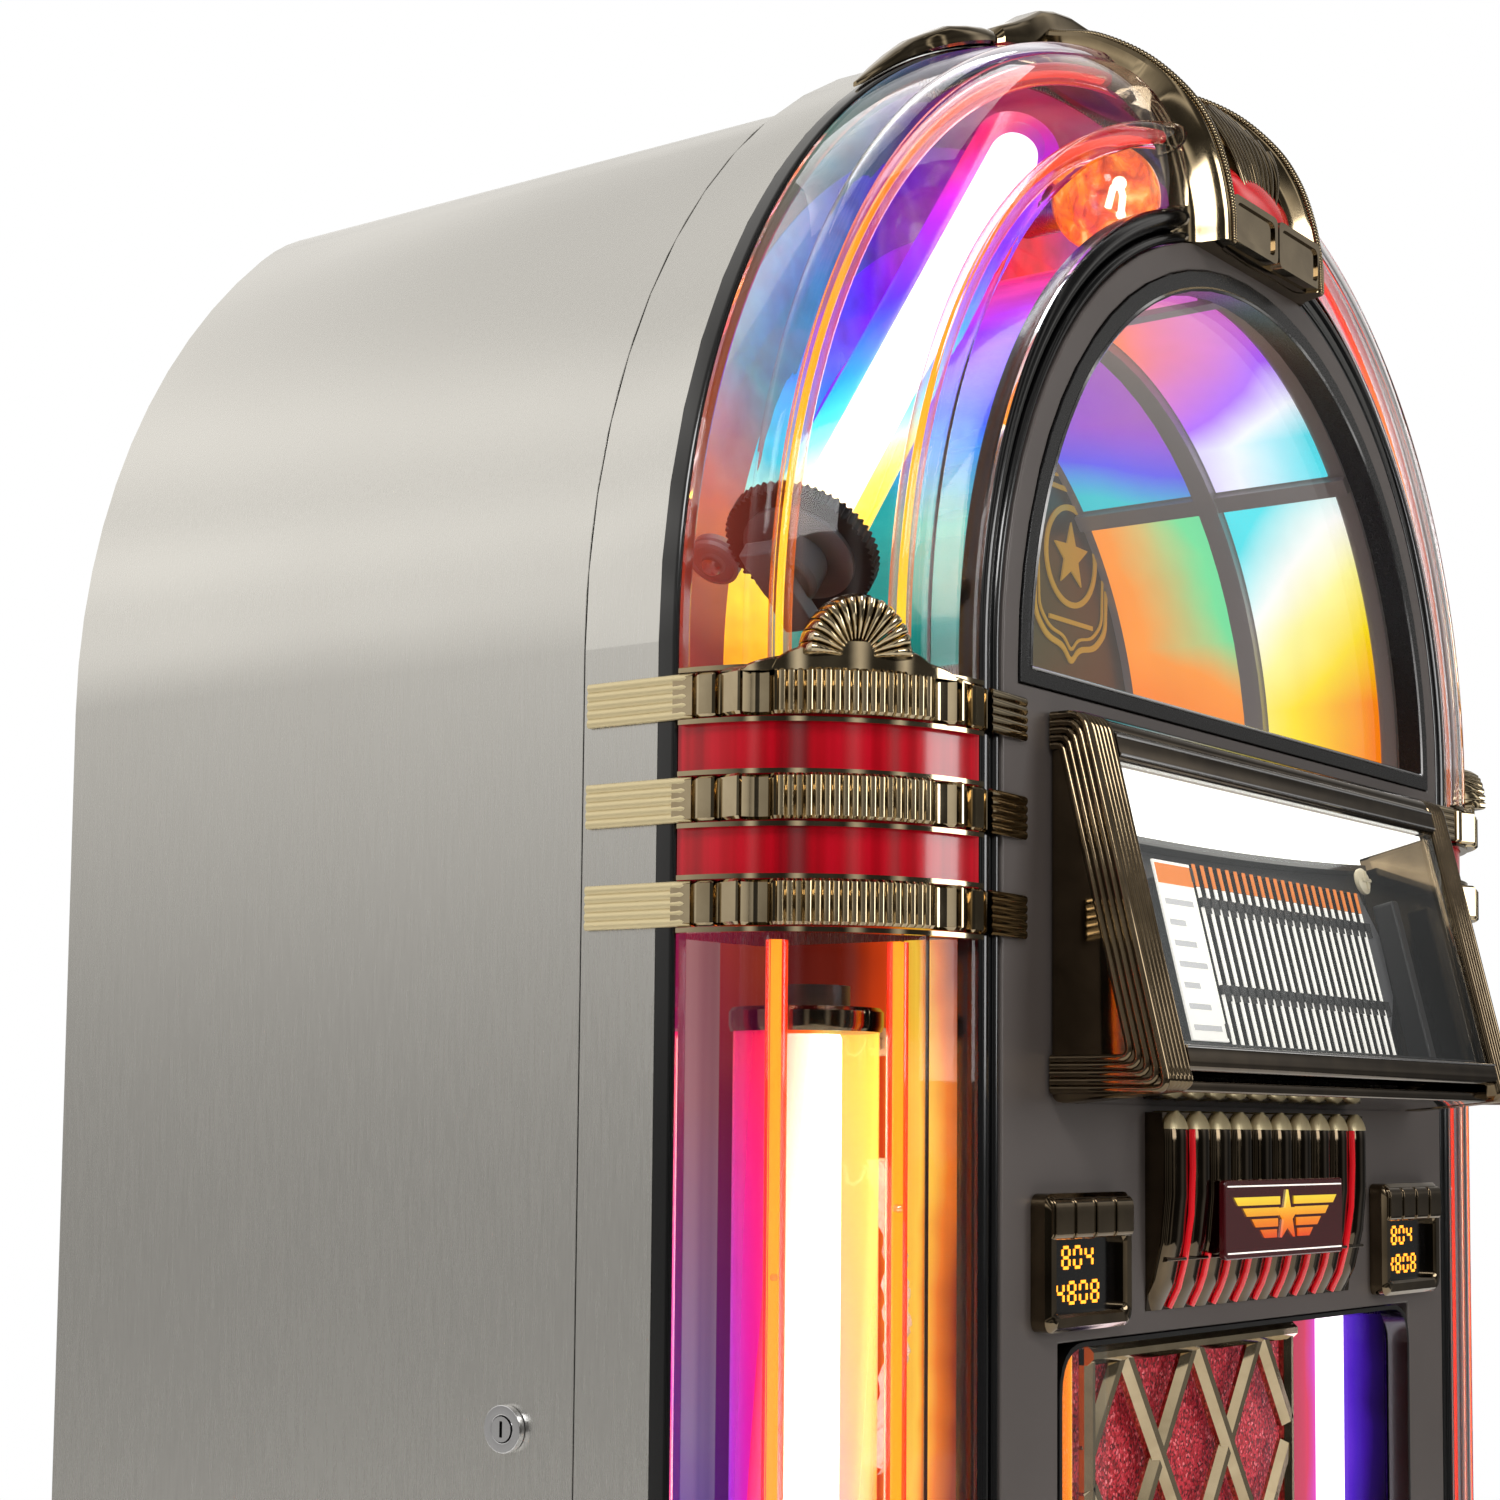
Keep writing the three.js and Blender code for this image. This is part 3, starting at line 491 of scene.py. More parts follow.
def plastic(name, colour, roughness=0.4, grain_scale=1200, glow=None, **sockets):
    made = Finish(name, colour, roughness, **sockets)
    grain = made.noise(grain_scale)
    darker = srgb(*[c * 0.86 for c in colour])
    made.feed("Base Color", made.mix(made.grey(made.noise(12), 0, 0.7), srgb(*colour), darker))
    made.feed("Roughness", made.grey(grain, roughness * 0.8, min(1, roughness * 1.2)))
    if glow:
        made.glow(srgb(*colour), glow)
    return made.bump(grain, 0.05, 0.4).material


def clear_acrylic():
    """The thick clear covers: long flow lines, and coloured light caught in their rear edge."""
    made = Finish("clear_acrylic", (250, 250, 252), 0.015, Transmission_Weight=1.0, IOR=1.2,
                  Sheen_Weight=0.2, Sheen_Roughness=0.25, Sheen_Tint=srgb(255, 90, 50))
    height = made.span(made.arch_angle(), -1.0, 1.0)
    caught = made.ramp(height, (0.12, 40, 170, 220), (0.24, 90, 50, 255), (0.34, 200, 30, 130),
                       (0.46, 230, 30, 40), (0.6, 240, 84, 20), (0.75, 40, 160, 140),
                       (0.88, 80, 50, 190), (1.0, 226, 70, 60))
    rear = made.span(made.axis("Y"), TRIM_Y - 60, TRIM_Y)
    made.glow(made.mix(rear, srgb(0, 0, 0), caught), 0.13)
    return made.bump(made.noise(16, (1, 1, 0.12), detail=2), 0.35, 0.25).material


def plastic_film():
    """Thin creased wrapping: a milky sheet that lets most of the light through."""
    made = Finish("creased_film", (236, 226, 222), 0.25)
    made.glow(srgb(240, 200, 190), 0.25)
    return made.see_through(made.grey(made.noise(160, detail=4, distortion=1.5), 0.15, 0.6)).material


def clear_glass(name, share):
    """A thin clear sheet: see-through, with a mirror sheen that grows edge on."""
    made = Finish(name, (236, 242, 246), 0.02, 1.0)
    made.feed("Roughness", made.grey(made.noise(20), 0.005, 0.03))
    return made.see_through(made.denser_edge_on(5.0, 0.9, share, 0.9)).material


def crimson_cover():
    """Deep red pilaster plastic with upright streaks of light inside."""
    made = Finish("crimson_cover", (150, 2, 16), 0.16, Coat_Weight=0.25, Coat_Roughness=0.08)
    streak = made.noise(70, (1, 1, 0.02))
    glow = made.ramp(streak, (0.3, 112, 0, 12), (0.5, 158, 0, 18), (0.62, 176, 4, 28), (0.75, 128, 0, 14))
    made.feed("Base Color", glow)
    return made.glow(glow, 0.32).material


def speaker_cloth():
    """Red cloth: small bright threads over deep red, the brightest flecks painted glints, and a faint
    painted glow over it all.
    """
    made = Finish("speaker_cloth", (150, 18, 30), 0.55, 0.25)
    cells = made.node("ShaderNodeTexVoronoi", made.place)
    cells.inputs["Scale"].default_value = 640
    # Lighter threads; their brightest flecks are painted glints.
    threads_and_glints = made.ramp(cells.outputs["Color"], (0.2, 84, 6, 14), (0.5, 170, 22, 36), (0.78, 206, 52, 68),
                      (0.97, 240, 140, 146))
    made.feed("Base Color", threads_and_glints)
    # The cloth gives no light: this faint glow is painted light.
    made.glow(threads_and_glints, 0.22)
    return made.bump(cells.outputs["Distance"], 0.8, 0.8).material


def lamp_tube():
    """White-hot fluorescent tube, a little warmer in places."""
    made = Finish("lamp_tube", (255, 250, 235), 0.3)
    warm = made.ramp(made.noise(3), (0.3, 255, 246, 214), (0.7, 255, 255, 250))
    return made.glow(warm, 5.0).material


def striped_glow(name, stops, strength, driver="Z", low=0.0, high=1.0, streaks=(40, (1, 1, 0.03)),
                 contrast=0.35, gloss=0.6, lean=0.0):
    """A lit surface whose colour runs through stops along one driver, with fine streaks of light."""
    made = Finish(name, (120, 60, 60), 0.25, Coat_Weight=gloss, Coat_Roughness=0.05,
                  Specular_IOR_Level=min(0.5, gloss))
    if driver == "arch":
        value = made.arch_angle()
    elif driver == "round the corner":
        around = made.math("SUBTRACT", made.math("ABSOLUTE", made.axis("X")), made.axis("Y"))
        value = made.span(around, low, high)
    else:
        value = made.span(made.axis(driver), low, high)
    if lean:
        depth = made.span(made.axis("Y"), DOME_FRONT_Y, DOME_BACK_Y)
        value = made.math("ADD", value, made.math("MULTIPLY", depth, lean))
    wander = made.math("MULTIPLY", made.math("SUBTRACT", made.noise(9), 0.5), 0.25)
    colour = made.ramp(made.math("ADD", value, wander), *stops)
    shade = made.grey(made.noise(*streaks), 1 - contrast * 1.6, 1 + contrast * 0.4)
    lit = made.mix(1.0, colour, shade, "MULTIPLY")
    made.feed("Base Color", made.mix(0.85, lit, srgb(12, 6, 8)))
    return made.glow(lit, strength).material


def amber_glass(name, colour, share, glow, arch_stops=()):
    """Coloured see-through tube wall, denser where it is seen edge on."""
    made = Finish(name, colour, 0.05, Coat_Weight=1.0, Coat_Roughness=0.02)
    made.feed("Roughness", made.grey(made.noise(60), 0.03, 0.09))
    lit = srgb(*colour)
    if arch_stops:
        lit = made.ramp(made.arch_angle(), *arch_stops)
        made.feed("Base Color", made.mix(0.7, lit, srgb(30, 6, 4)))
    made.glow(lit, glow)
    return made.see_through(made.denser_edge_on(1.6, 0.8, share, 0.96)).material


def sparkling_globe():
    """The amber bulb: glass with bright and dark flecks of light held in it."""
    made = Finish("amber_globe_glass", (250, 140, 30), 0.05, Coat_Weight=1.0, Coat_Roughness=0.02)
    fleck = made.noise(55, detail=4, distortion=1.2)
    lit = made.ramp(fleck, (0.3, 120, 34, 4), (0.45, 226, 96, 10), (0.58, 250, 150, 24),
                    (0.7, 255, 226, 130))
    made.feed("Base Color", lit)
    made.glow(lit, 1.15)
    return made.see_through(made.denser_edge_on(1.5, 0.5, 0.5, 0.95)).material


def sleeve_film():
    """Colour film wound round the lower lamp: red and violet on one side, through amber to clear."""
    made = Finish("colour_film", (200, 60, 90), 0.2, Coat_Weight=0.4)
    around = made.math("ADD", made.math("MULTIPLY", made.turn_angle(), 0.5 / math.pi), 0.5)
    climb = made.math("MULTIPLY", made.math("SUBTRACT", made.axis("Z"), 760), -0.00035)
    place = made.math("FRACT", made.math("ADD", around, climb))
    warm = made.ramp(place, (0.0, 236, 40, 20), (0.06, 255, 120, 20), (0.11, 255, 226, 110),
                     (0.25, 255, 226, 110), (0.34, 255, 190, 30), (0.5, 255, 140, 30), (0.7, 250, 80, 40),
                     (0.86, 170, 14, 70), (1.0, 214, 14, 40))
    cool = made.ramp(place, (0.0, 226, 24, 60), (0.06, 255, 90, 60), (0.11, 255, 236, 190),
                     (0.27, 255, 232, 170), (0.36, 250, 120, 60), (0.5, 200, 40, 120), (0.7, 120, 40, 210),
                     (0.86, 90, 20, 220), (1.0, 170, 20, 150))
    lit = made.mix(made.span(made.axis("Z"), 900, 560), warm, cool)
    made.feed("Base Color", lit)
    made.glow(lit, 0.95)
    share = made.levels(place, (0.0, 0.7), (0.08, 0.45), (0.13, 0.2), (0.24, 0.22), (0.3, 0.5), (0.45, 0.3),
                        (0.84, 0.6), (1.0, 0.75))
    return made.see_through(share).material


def arch_film():
    """Colour film round the arch lamp: yellow at the foot, then cyan, blue, violet and pink."""
    made = Finish("arch_colour_film", (200, 60, 90), 0.25, Coat_Weight=0.4)
    shift = made.math("MULTIPLY", made.math("SINE", made.math("ADD", made.turn_angle(), 0.6)), 0.13)
    value = made.math("ADD", made.span(made.axis("Z"), 0, ARCH_CHORD), shift)
    lit = made.ramp(value, (0.0, 255, 190, 20), (0.14, 255, 226, 60), (0.26, 90, 230, 230),
                    (0.42, 20, 150, 250), (0.6, 60, 40, 240), (0.8, 140, 30, 220), (1.0, 220, 40, 110))
    made.feed("Base Color", lit)
    made.glow(lit, 1.0)
    share = made.math("ADD", made.math("MULTIPLY", made.edge_on(1.4), 0.55), 0.2)
    return made.see_through(share).material


# ---- Camera, light and floor ----
def add_camera():
    data = bpy.data.cameras.new("camera")
    data.lens, data.sensor_width = 64.755, 36
    data.shift_x, data.shift_y = 0.0062, 0.10
    camera = bpy.data.objects.new("camera", data)
    bpy.context.scene.collection.objects.link(camera)
    yaw, pitch, roll = -0.9339, math.pi / 2 + math.radians(4.74), 0.0099
    turn = Matrix.Rotation(yaw, 4, "Z") @ Matrix.Rotation(pitch, 4, "X") @ Matrix.Rotation(roll, 4, "Z")
    camera.matrix_world = Matrix.Translation((-1.4425, -0.9356, 0.8366)) @ turn
    bpy.context.scene.camera = camera


# Brightness of the reflected studio: from floor to ceiling, from the front to the back, and all the way
# round, where the narrow peaks are windows. Each stop is its place from 0 to 1, then its level.
STUDIO_RISE = ((0.0, 0.45), (0.44, 0.3), (0.5, 0.22), (0.55, 0.5), (0.6, 0.62), (0.64, 1.05), (0.67, 0.62),
               (0.72, 1.1), (0.76, 0.66), (0.82, 1.0), (0.88, 0.6), (0.94, 0.8), (1.0, 0.55))
STUDIO_DEPTH = ((0.0, 0.3), (0.25, 0.22), (0.5, 0.4), (0.7, 1.0), (1.0, 1.15))
STUDIO_ROUND = ((0.0, 1.0), (0.018, 0.3), (0.03, 5.0), (0.042, 0.3), (0.085, 0.25), (0.1, 7.0),
                (0.112, 0.3), (0.15, 0.4), (0.17, 0.2), (0.185, 5.0), (0.2, 0.25), (0.235, 0.2), (0.25, 5.0),
                (0.262, 0.25), (0.31, 0.3), (0.325, 4.0), (0.34, 0.3), (0.4, 0.4), (0.42, 3.0), (0.45, 0.4),
                (0.52, 1.0), (0.6, 0.9), (0.8, 1.1), (1.0, 1.0))
STUDIO_TINT = (1, 0.992, 0.978)


def add_world():
    """White behind the object, and a soft studio with a dark front wall in its reflections."""
    world = bpy.data.worlds.new("studio")
    bpy.context.scene.world = world
    world.use_nodes = True
    world.node_tree.nodes.clear()
    nodes = Nodes(world.node_tree)
    direction = nodes.node("ShaderNodeSeparateXYZ", nodes.node("ShaderNodeTexCoord").outputs["Generated"])
    x, y, z = direction.outputs
    drivers = (nodes.scaled(z, 0.5, 0.5), nodes.scaled(y, 0.5, 0.5),
               nodes.scaled(nodes.math("ARCTAN2", y, x), 0.5 / math.pi, 0.5))
    levels = []
    for driver, stops in zip(drivers, (STUDIO_RISE, STUDIO_DEPTH, STUDIO_ROUND)):
        tinted = [(at, (*(level * part for part in STUDIO_TINT), 1)) for at, level in stops]
        levels.append(set_stops(nodes.node("ShaderNodeValToRGB", driver), tinted))
    rise, depth, around = levels
    both = nodes.mix(1.0, nodes.mix(1.0, rise, depth, "MULTIPLY"), around, "MULTIPLY")
    studio = nodes.node("ShaderNodeBackground", both, 1.25)
    seen = nodes.node("ShaderNodeBackground", (1, 1, 1, 1))
    from_camera = nodes.node("ShaderNodeLightPath").outputs["Is Camera Ray"]
    shown = nodes.node("ShaderNodeMixShader", from_camera, studio.outputs[0], seen.outputs[0])
    nodes.node("ShaderNodeOutputWorld", shown.outputs[0])


def add_light(name, place, aim, size, power, mirrored_in_metal=False):
    data = bpy.data.lights.new(name, "AREA")
    data.shape = "RECTANGLE"
    data.size, data.size_y = size
    data.energy = power
    light = bpy.data.objects.new(name, data)
    light.location = place
    light.rotation_euler = (Vector(aim) - Vector(place)).to_track_quat("-Z", "Y").to_euler()
    light.visible_glossy = mirrored_in_metal
    bpy.context.scene.collection.objects.link(light)


def add_floor(size=2.4):
    mesh = bpy.data.meshes.new("floor")
    mesh.from_pydata([(x, y, 0) for x, y in rectangle(-size, size, -size, size)], [], [(0, 1, 2, 3)])
    floor = bpy.data.objects.new("floor", mesh)
    bpy.context.scene.collection.objects.link(floor)
    mesh.materials.append(Finish("floor_paint", (236, 235, 232), 0.6).material)


def add_stage():
    """The camera, world, lights and floor, all placed in metres."""
    add_camera()
    add_world()
    bpy.context.scene.view_settings.view_transform = "Standard"
    add_light("key", (-2.6, -2.2, 3.0), (0, 0, 0.9), (1.6, 1.0), 62, mirrored_in_metal=True)
    add_light("front_fill", (1.4, -3.2, 1.6), (0, 0, 0.8), (1.4, 1.4), 34, mirrored_in_metal=True)
    add_light("top", (0.2, 0.2, 3.4), (0, 0, 1.0), (1.6, 1.6), 40)
    add_light("back", (1.8, 2.6, 1.9), (0, 0, 0.9), (1.4, 1.4), 40)
    add_floor()


# ---- Cabinet, plinth and everything behind the door ----
def add_cabinet():
    keep("cabinet_shell", SKIN, bevel=1.0)
    keep("rear_panel", BOARD, bevel=0.8)
    keep("mechanism_deck", BOARD, bevel=1.0)
    keep("plinth", BLACK, bevel=2.5, segments=3)
    for node, bevel in (("power_inlet", 0.8), ("amplifier", 0.8), ("cd_player", 1.5), ("cd_magazine", 0.6)):
        keep(node, DARK, bevel)
    keep("transfer_arm", STEEL, bevel=0.8)
    keep("lock_housing", BRIGHT_STEEL, bevel=0.5)
    keep("lock_cylinder", BRIGHT_STEEL, bevel=0.3)
    for leaf in ("cabinet_hinge_leaf", "door_hinge_leaf"):
        keep(leaf, STEEL, bevel=0.2)
    for side, _ in SIDES:
        keep(f"levelling_foot_{side}", STEEL, bevel=0.6)
        keep(f"rear_roller_{side}", RUBBER, bevel=1.2)


# ---- Door: frame, panel, black trims and clear covers ----
def bead(middle, front, wide, deep, steps):
    """(radius, y) points of a half-round bead, from its outer foot over its front to its inner foot."""
    turns = [math.pi * k / steps for k in range(steps + 1)]
    return [(middle + wide * math.cos(a), front + deep - deep * math.sin(a)) for a in turns]


def door_trim(which, section):
    """A black trim that runs up both sides of the door and over the arch."""
    trim = swept(section, arch_stations(DOOR_BOTTOM_Z))
    piece(f"{which}_trim_edge", trim, BLACK, "black_gloss", [f"{which}_trim"])


def add_door_frame():
    keep("door_frame", SKIN, bevel=0.6)
    keep("front_panel", CHARCOAL, bevel=1.6, segments=3)
    out, rear = HALF_WIDTH, TRIM_HIGH.y
    hollow = [(out - away, TRIM_Y + y) for away, y in ((6, 2.2), (7, 1.2), (11, 0.3), (13, 1.5))]
    door_trim("outer", [(out, rear), *bead(out - 2.6, TRIM_Y, 2.6, 3, 8), *hollow, (out - 13, rear)])
    low, high, rear = PANEL_HALF + 0.3, INNER_TRIM_R, box("inner_trim")[1].y
    beads = bead(high - 6.5, FRONT_Y, 6.5, 6.5, 10) + bead(low + 3.2, FRONT_Y + 0.4, 3, 3, 10)
    door_trim("inner", [(high, rear), *beads, (low, rear)])


def add_covers():
    arch = swept(cover_section(), arch_stations(BAND_TOPS[0] + 1.5))
    piece("arch_bubble_cover", arch, ACRYLIC, "clear_cover", ["arch_cover"])
    for side, sign in SIDES:
        lower = mirrored(prism(cover_section(), "z", DOOR_BOTTOM_Z, RED_BOTTOM_Z - 3), sign)
        piece(f"pilaster_bubble_cover_{side}", lower, ACRYLIC, "clear_cover", [f"pilaster_cover_{side}"])
        red = mirrored(prism(cover_section(ridges=False), "z", RED_BOTTOM_Z, BAND_TOPS[0] - 1), sign)
        piece(f"red_section_skin_{side}", red, CRIMSON, "crimson", [f"red_section_{side}"])


def add_glow_walls():
    """The lit lining behind the covers: an outer wall, a back in three strips and an inner wall."""
    back, out, near = CAVITY_BACK_Y - 1.0, CAVITY_OUT, CAVITY_IN
    outer_join, inner_join, lap = 366, 314, 0.3
    walls = {
        "outer": [(out - 2, TRIM_Y + 9), (out - 1, back), (out - 3, back)],
        "back_outer": [(out - 3, back), (outer_join + lap, back + 0.2), (outer_join + lap, back - 2),
                       (out - 3, back - 2)],
        "back_inner": [(outer_join, back), (inner_join + lap, back + 0.2), (inner_join + lap, back - 2),
                       (outer_join, back - 2)],
        "inner": [(near + 2, FRONT_Y + 13), (near + 2, back - 2), (near + 0.4, back - 2),
                  (near + 0.4, FRONT_Y + 13)],
        "inner_back": [(inner_join, back), (near + 3, back - 1), (near + 3, back - 3),
                       (inner_join, back - 2)],
    }
    for name, section in walls.items():
        piece(f"arch_lining_{name}", swept(section, arch_arc()), ARCH_GLOW[name], "rainbow")
        for side, sign in SIDES:
            lower = mirrored(prism(section, "z", DOOR_BOTTOM_Z + 22, RED_BOTTOM_Z), sign)
            piece(f"pilaster_lining_{name}_{side}", lower, PILASTER_GLOW[name], "rainbow")


# ---- Lamps, colour sleeves and bubble tubes ----
def sleeve(radius, wall, low, high, steps=64):
    """A thin open-ended cylinder."""
    out = radius + wall
    return revolved([(radius, low), (out, low), (out, high), (radius, high), (radius, low)], steps)


def add_lamps():
    """The upright lamps, in coordinates about their own lines, with the colour sleeves round them."""
    film_r = 35.8
    for side, sign in SIDES:
        low, high = box(f"lamp_{side}")
        r, foot, top = (high.x - low.x) / 2, low.z, high.z
        glass = revolved([(0, foot + 22), (r - 2, foot + 22), (r, foot + 26), (r, top - 26),
                          (r - 2, top - 22), (0, top - 22)])
        lower = revolved([(0, foot), (r + 4, foot), (r + 4, foot + 14), (r - 1, foot + 24), (0, foot + 24)])
        upper = revolved([(0, top - 24), (r - 1, top - 24), (r + 4, top - 14), (r + 4, top), (0, top)])
        line = Matrix.Translation((sign * LAMP_X * SCALE, LAMP_Y * SCALE, 0))
        local_piece(f"lamp_tube_{side}", glass, LAMP, "lamp_white", line, replaces=[f"lamp_{side}"])
        local_piece(f"lamp_holders_{side}", merged(lower, upper), DARK, "dark_plastic", line)

        bottom, top = (corner.z for corner in box(f"colour_sleeve_{side}"))
        body = f"sleeve_{side}"
        local_piece(f"colour_film_{side}", sleeve(film_r, 0.5, bottom, top - 8), FILM, "rainbow", line,
                    replaces=[f"colour_sleeve_{side}"], body=body)
        collar = revolved([(35.2, top - 12), (37.5, top - 12), (38.5, top - 9), (38.5, top - 2), (37, top),
                           (34, top), (34, top - 10), (35.2, top - 12)], 64)
        ring = revolved([(35.2, bottom), (37.5, bottom), (38, bottom + 10), (35.2, bottom + 12),
                         (35.2, bottom)], 64)
        local_piece(f"sleeve_rings_{side}", merged(collar, ring), SHADED_GOLD, "gold_chrome", line, body=body)


def creased_sheet():
    """Clear film wrapped part of the way round the right-hand lamp, swollen in the middle and creased."""
    low, pitch, rows, columns = 668, 4.2, 36, 14
    rings = []
    for k in range(rows + 1):
        swell = math.sin(math.pi * k / rows) ** 0.6
        front, back = [], []
        for j in range(columns + 1):
            a = math.radians(62 * j / columns - 78)
            crease = 1.6 * math.sin(k * 1.7 + j * 0.9) + 1.1 * math.sin(k * 0.6 - j * 2.3)
            r = 39.5 + (13 + crease) * swell
            for line, reach in ((front, r), (back, r - 0.6)):
                line.append((LAMP_X - reach * math.cos(a), LAMP_Y + reach * math.sin(a), low + pitch * k))
        rings.append(front + back[::-1])
    return lofted(rings)


def cable_clip(z):
    return merged(slab(281.2, 290, -178, -166, z, z + 14), slab(289, 298, -174, -170, z + 3, z + 9))


def lamp_wire(z):
    """A loose wire that wanders back from its clip."""
    line = [(291 + 2.5 * math.sin(t * 1.3), 2.4 * t - 170, z + 5 + 5 * math.sin(t * 0.9)) for t in range(16)]
    return tube(line, 1.1, 8)


def add_channel_details():
    """A creased sheet of clear film, two cable clips and their wires beside each upright lamp."""
    levels = (872, 806)
    for side, sign in SIDES:
        clips = mirrored(merged(*[cable_clip(z) for z in levels]), sign)
        wires = mirrored(merged(*[lamp_wire(z) for z in levels]), sign)
        piece(f"creased_film_{side}", mirrored(creased_sheet(), sign), CREASED, "clear_cover", smooth=60)
        piece(f"cable_clips_{side}", clips, CREAM, "cream_plastic", bevel=0.8)
        piece(f"lamp_wires_{side}", wires, CREAM, "cream_plastic", smooth=60)


def tube_foot(low):
    """The block that holds the feet of both upright bubble tubes."""
    inner, outer = (Vector(place) for place in TUBES)
    along = (outer - inner).normalized() * 8
    across = Vector((along.y, -along.x)) * 0.8
    corners = [inner - along + across, outer + along + across, outer + along - across,
               inner - along - across]
    return prism(rounded(corners, 6), "z", low, low + 17)


def bubble_heights(k, low, high, count=9):
    """Unevenly spread heights for the bubbles of one tube."""
    return [low + 60 + (high - low - 90) * ((i * 0.37 + k * 0.21) % 1.0) for i in range(count)]


def add_bubble_tubes():
    for side, sign in SIDES:
        low, high = (corner.z for corner in box(f"bubble_tubes_{side}"))
        cores, shells, bubbles = [], [], []
        for k, (x, y) in enumerate(TUBES):
            line = [(sign * x, y, low + 16), (sign * x, y, high)]
            cores.append(tube(line, 2.7, 12))
            shells.append(tube(line, 5.8, 24))
            for i, z in enumerate(bubble_heights(k, low, high)):
                bubbles.append(ball((sign * x + 2.9 * (-1) ** i, y - 2.4, z), 1.7 + 0.35 * (i % 3), 8))
        piece(f"bubble_tube_cores_{side}", merged(*cores), TUBE_CORE, "bubble_amber")
        piece(f"bubble_tube_glass_{side}", merged(*shells), TUBE_GLASS, "bubble_amber",
              [f"bubble_tubes_{side}"])
        piece(f"bubbles_{side}", merged(*bubbles), BUBBLE, "bubble_amber")
        foot = mirrored(tube_foot(low), sign)
        piece(f"bubble_tube_base_{side}", foot, DARK, "dark_plastic", bevel=1.5)

    for name, (r, y) in zip(("inner", "outer"), TUBES):
        stations = arch_stations(BAND_TOPS[0] - 18)
        path = [(r * math.cos(a), y, z + r * math.sin(a)) for a, z in stations]
        piece(f"arch_tube_core_{name}", tube(path, 2.0, 12), ARCH_CORE, "bubble_amber")
        piece(f"arch_tube_glass_{name}", tube(path, 6.2, 24), ARCH_TUBE_GLASS, "bubble_amber")


def arch_point(sign, radius, angle, y):
    return Vector((sign * radius * math.cos(angle), y, ARCH_Z + radius * math.sin(angle)))


def arch_lamp_place(sign, back=0.0):
    """Stands a local +Z shape along the arch lamp, from its lower end up."""
    low, high = (arch_point(sign, ARCH_LAMP_R, angle, LAMP_Y + back) for angle in ARCH_LAMP_ANGLES)
    turn = (high - low).to_track_quat("Z", "Y").to_matrix().to_4x4()
    return Matrix.Translation(low * SCALE) @ turn


def toothed_disc(radius, hole, teeth, depth, low, high):
    outer, inner = [], []
    for i in range(teeth * 4):
        a = 2 * math.pi * i / (teeth * 4)
        for line, r in ((outer, radius if i % 4 < 2 else radius - depth), (inner, hole)):
            line.append((r * math.cos(a), r * math.sin(a)))
    rings = [[(x, y, z) for x, y in line] for line, z in
             ((outer, low), (outer, high), (inner, high), (inner, low))]
    return lofted(rings, caps=False, closed_path=True)


def add_arch_lamps():
    """A lamp in each shoulder of the arch, with its sleeve, its ring gear and the wheel that drives it."""
    end = ARCH_CHORD
    glass = revolved([(0, 10), (13, 10), (14, 14), (14, end - 20), (13, end - 16), (0, end - 16)])
    holder = merged(revolved([(0, -22), (15, -22), (17, -19), (17, -5), (13, 9), (0, 9)]),
                    slab(-9, 9, -26, 26, -30, -20),
                    revolved([(0, end - 16), (13, end - 16), (15, end - 8), (10, end - 2), (0, end - 2)]))
    rim = revolved([(25.8, 1), (31, 1), (31, 6), (29, 10), (25.8, 10), (25.8, 1)])
    hub = revolved([(14.5, -3.5), (24, -4), (29.5, -1.5), (29.5, 1.2), (14.5, 1.2), (14.5, -3.5)])
    wheel = revolved([(0, -2), (3, -2), (3, 0.2), (6, 0.2), (7, 1.4), (11, 1.4), (12, 0.3), (14, 1),
                      (14, 3.5), (12.6, 4.6), (14, 5.6), (14, 8.6), (12, 9), (3, 9), (3, 12), (0, 12)])
    screw = merged(revolved([(0, -3.4), (4.4, -3.2), (5.4, -1.8), (5.4, -0.2), (0, -0.2)], 32),
                   slab(-4, 4, -0.7, 0.7, -3.8, -3), slab(-0.7, 0.7, -4, 4, -3.8, -3))
    for side, sign in SIDES:
        place = arch_lamp_place(sign)
        local_piece(f"arch_lamp_tube_{side}", glass, LAMP, "lamp_white", place,
                    replaces=[f"arch_lamp_{side}"])
        local_piece(f"arch_lamp_holders_{side}", holder, GREY, "cream_plastic", place, bevel=1.0)
        body = f"arch_sleeve_{side}"
        local_piece(f"arch_colour_film_{side}", sleeve(25, 0.6, 9, end - 14), ARCH_FILM, "rainbow", place,
                    replaces=[f"arch_sleeve_{side}"], body=body)
        gear = merged(toothed_disc(40, 30, 60, 1.8, 0.4, 8.6), rim)
        local_piece(f"arch_ring_gear_{side}", gear, RUBBER, "dark_plastic", place, body=body)
        local_piece(f"arch_sleeve_hub_{side}", hub, GREY, "dark_plastic", place, body=body)
        low, high = box(f"drive_roller_{side}")
        place = arch_lamp_place(sign, (low.y + high.y) / 2 - LAMP_Y)
        body = f"drive_{side}"
        local_piece(f"drive_wheel_{side}", wheel, LIGHT_GREY, "cream_plastic", place,
                    replaces=[f"drive_roller_{side}"], body=body)
        local_piece(f"drive_wheel_screw_{side}", screw, BRIGHT_STEEL, "steel", place, body=body)


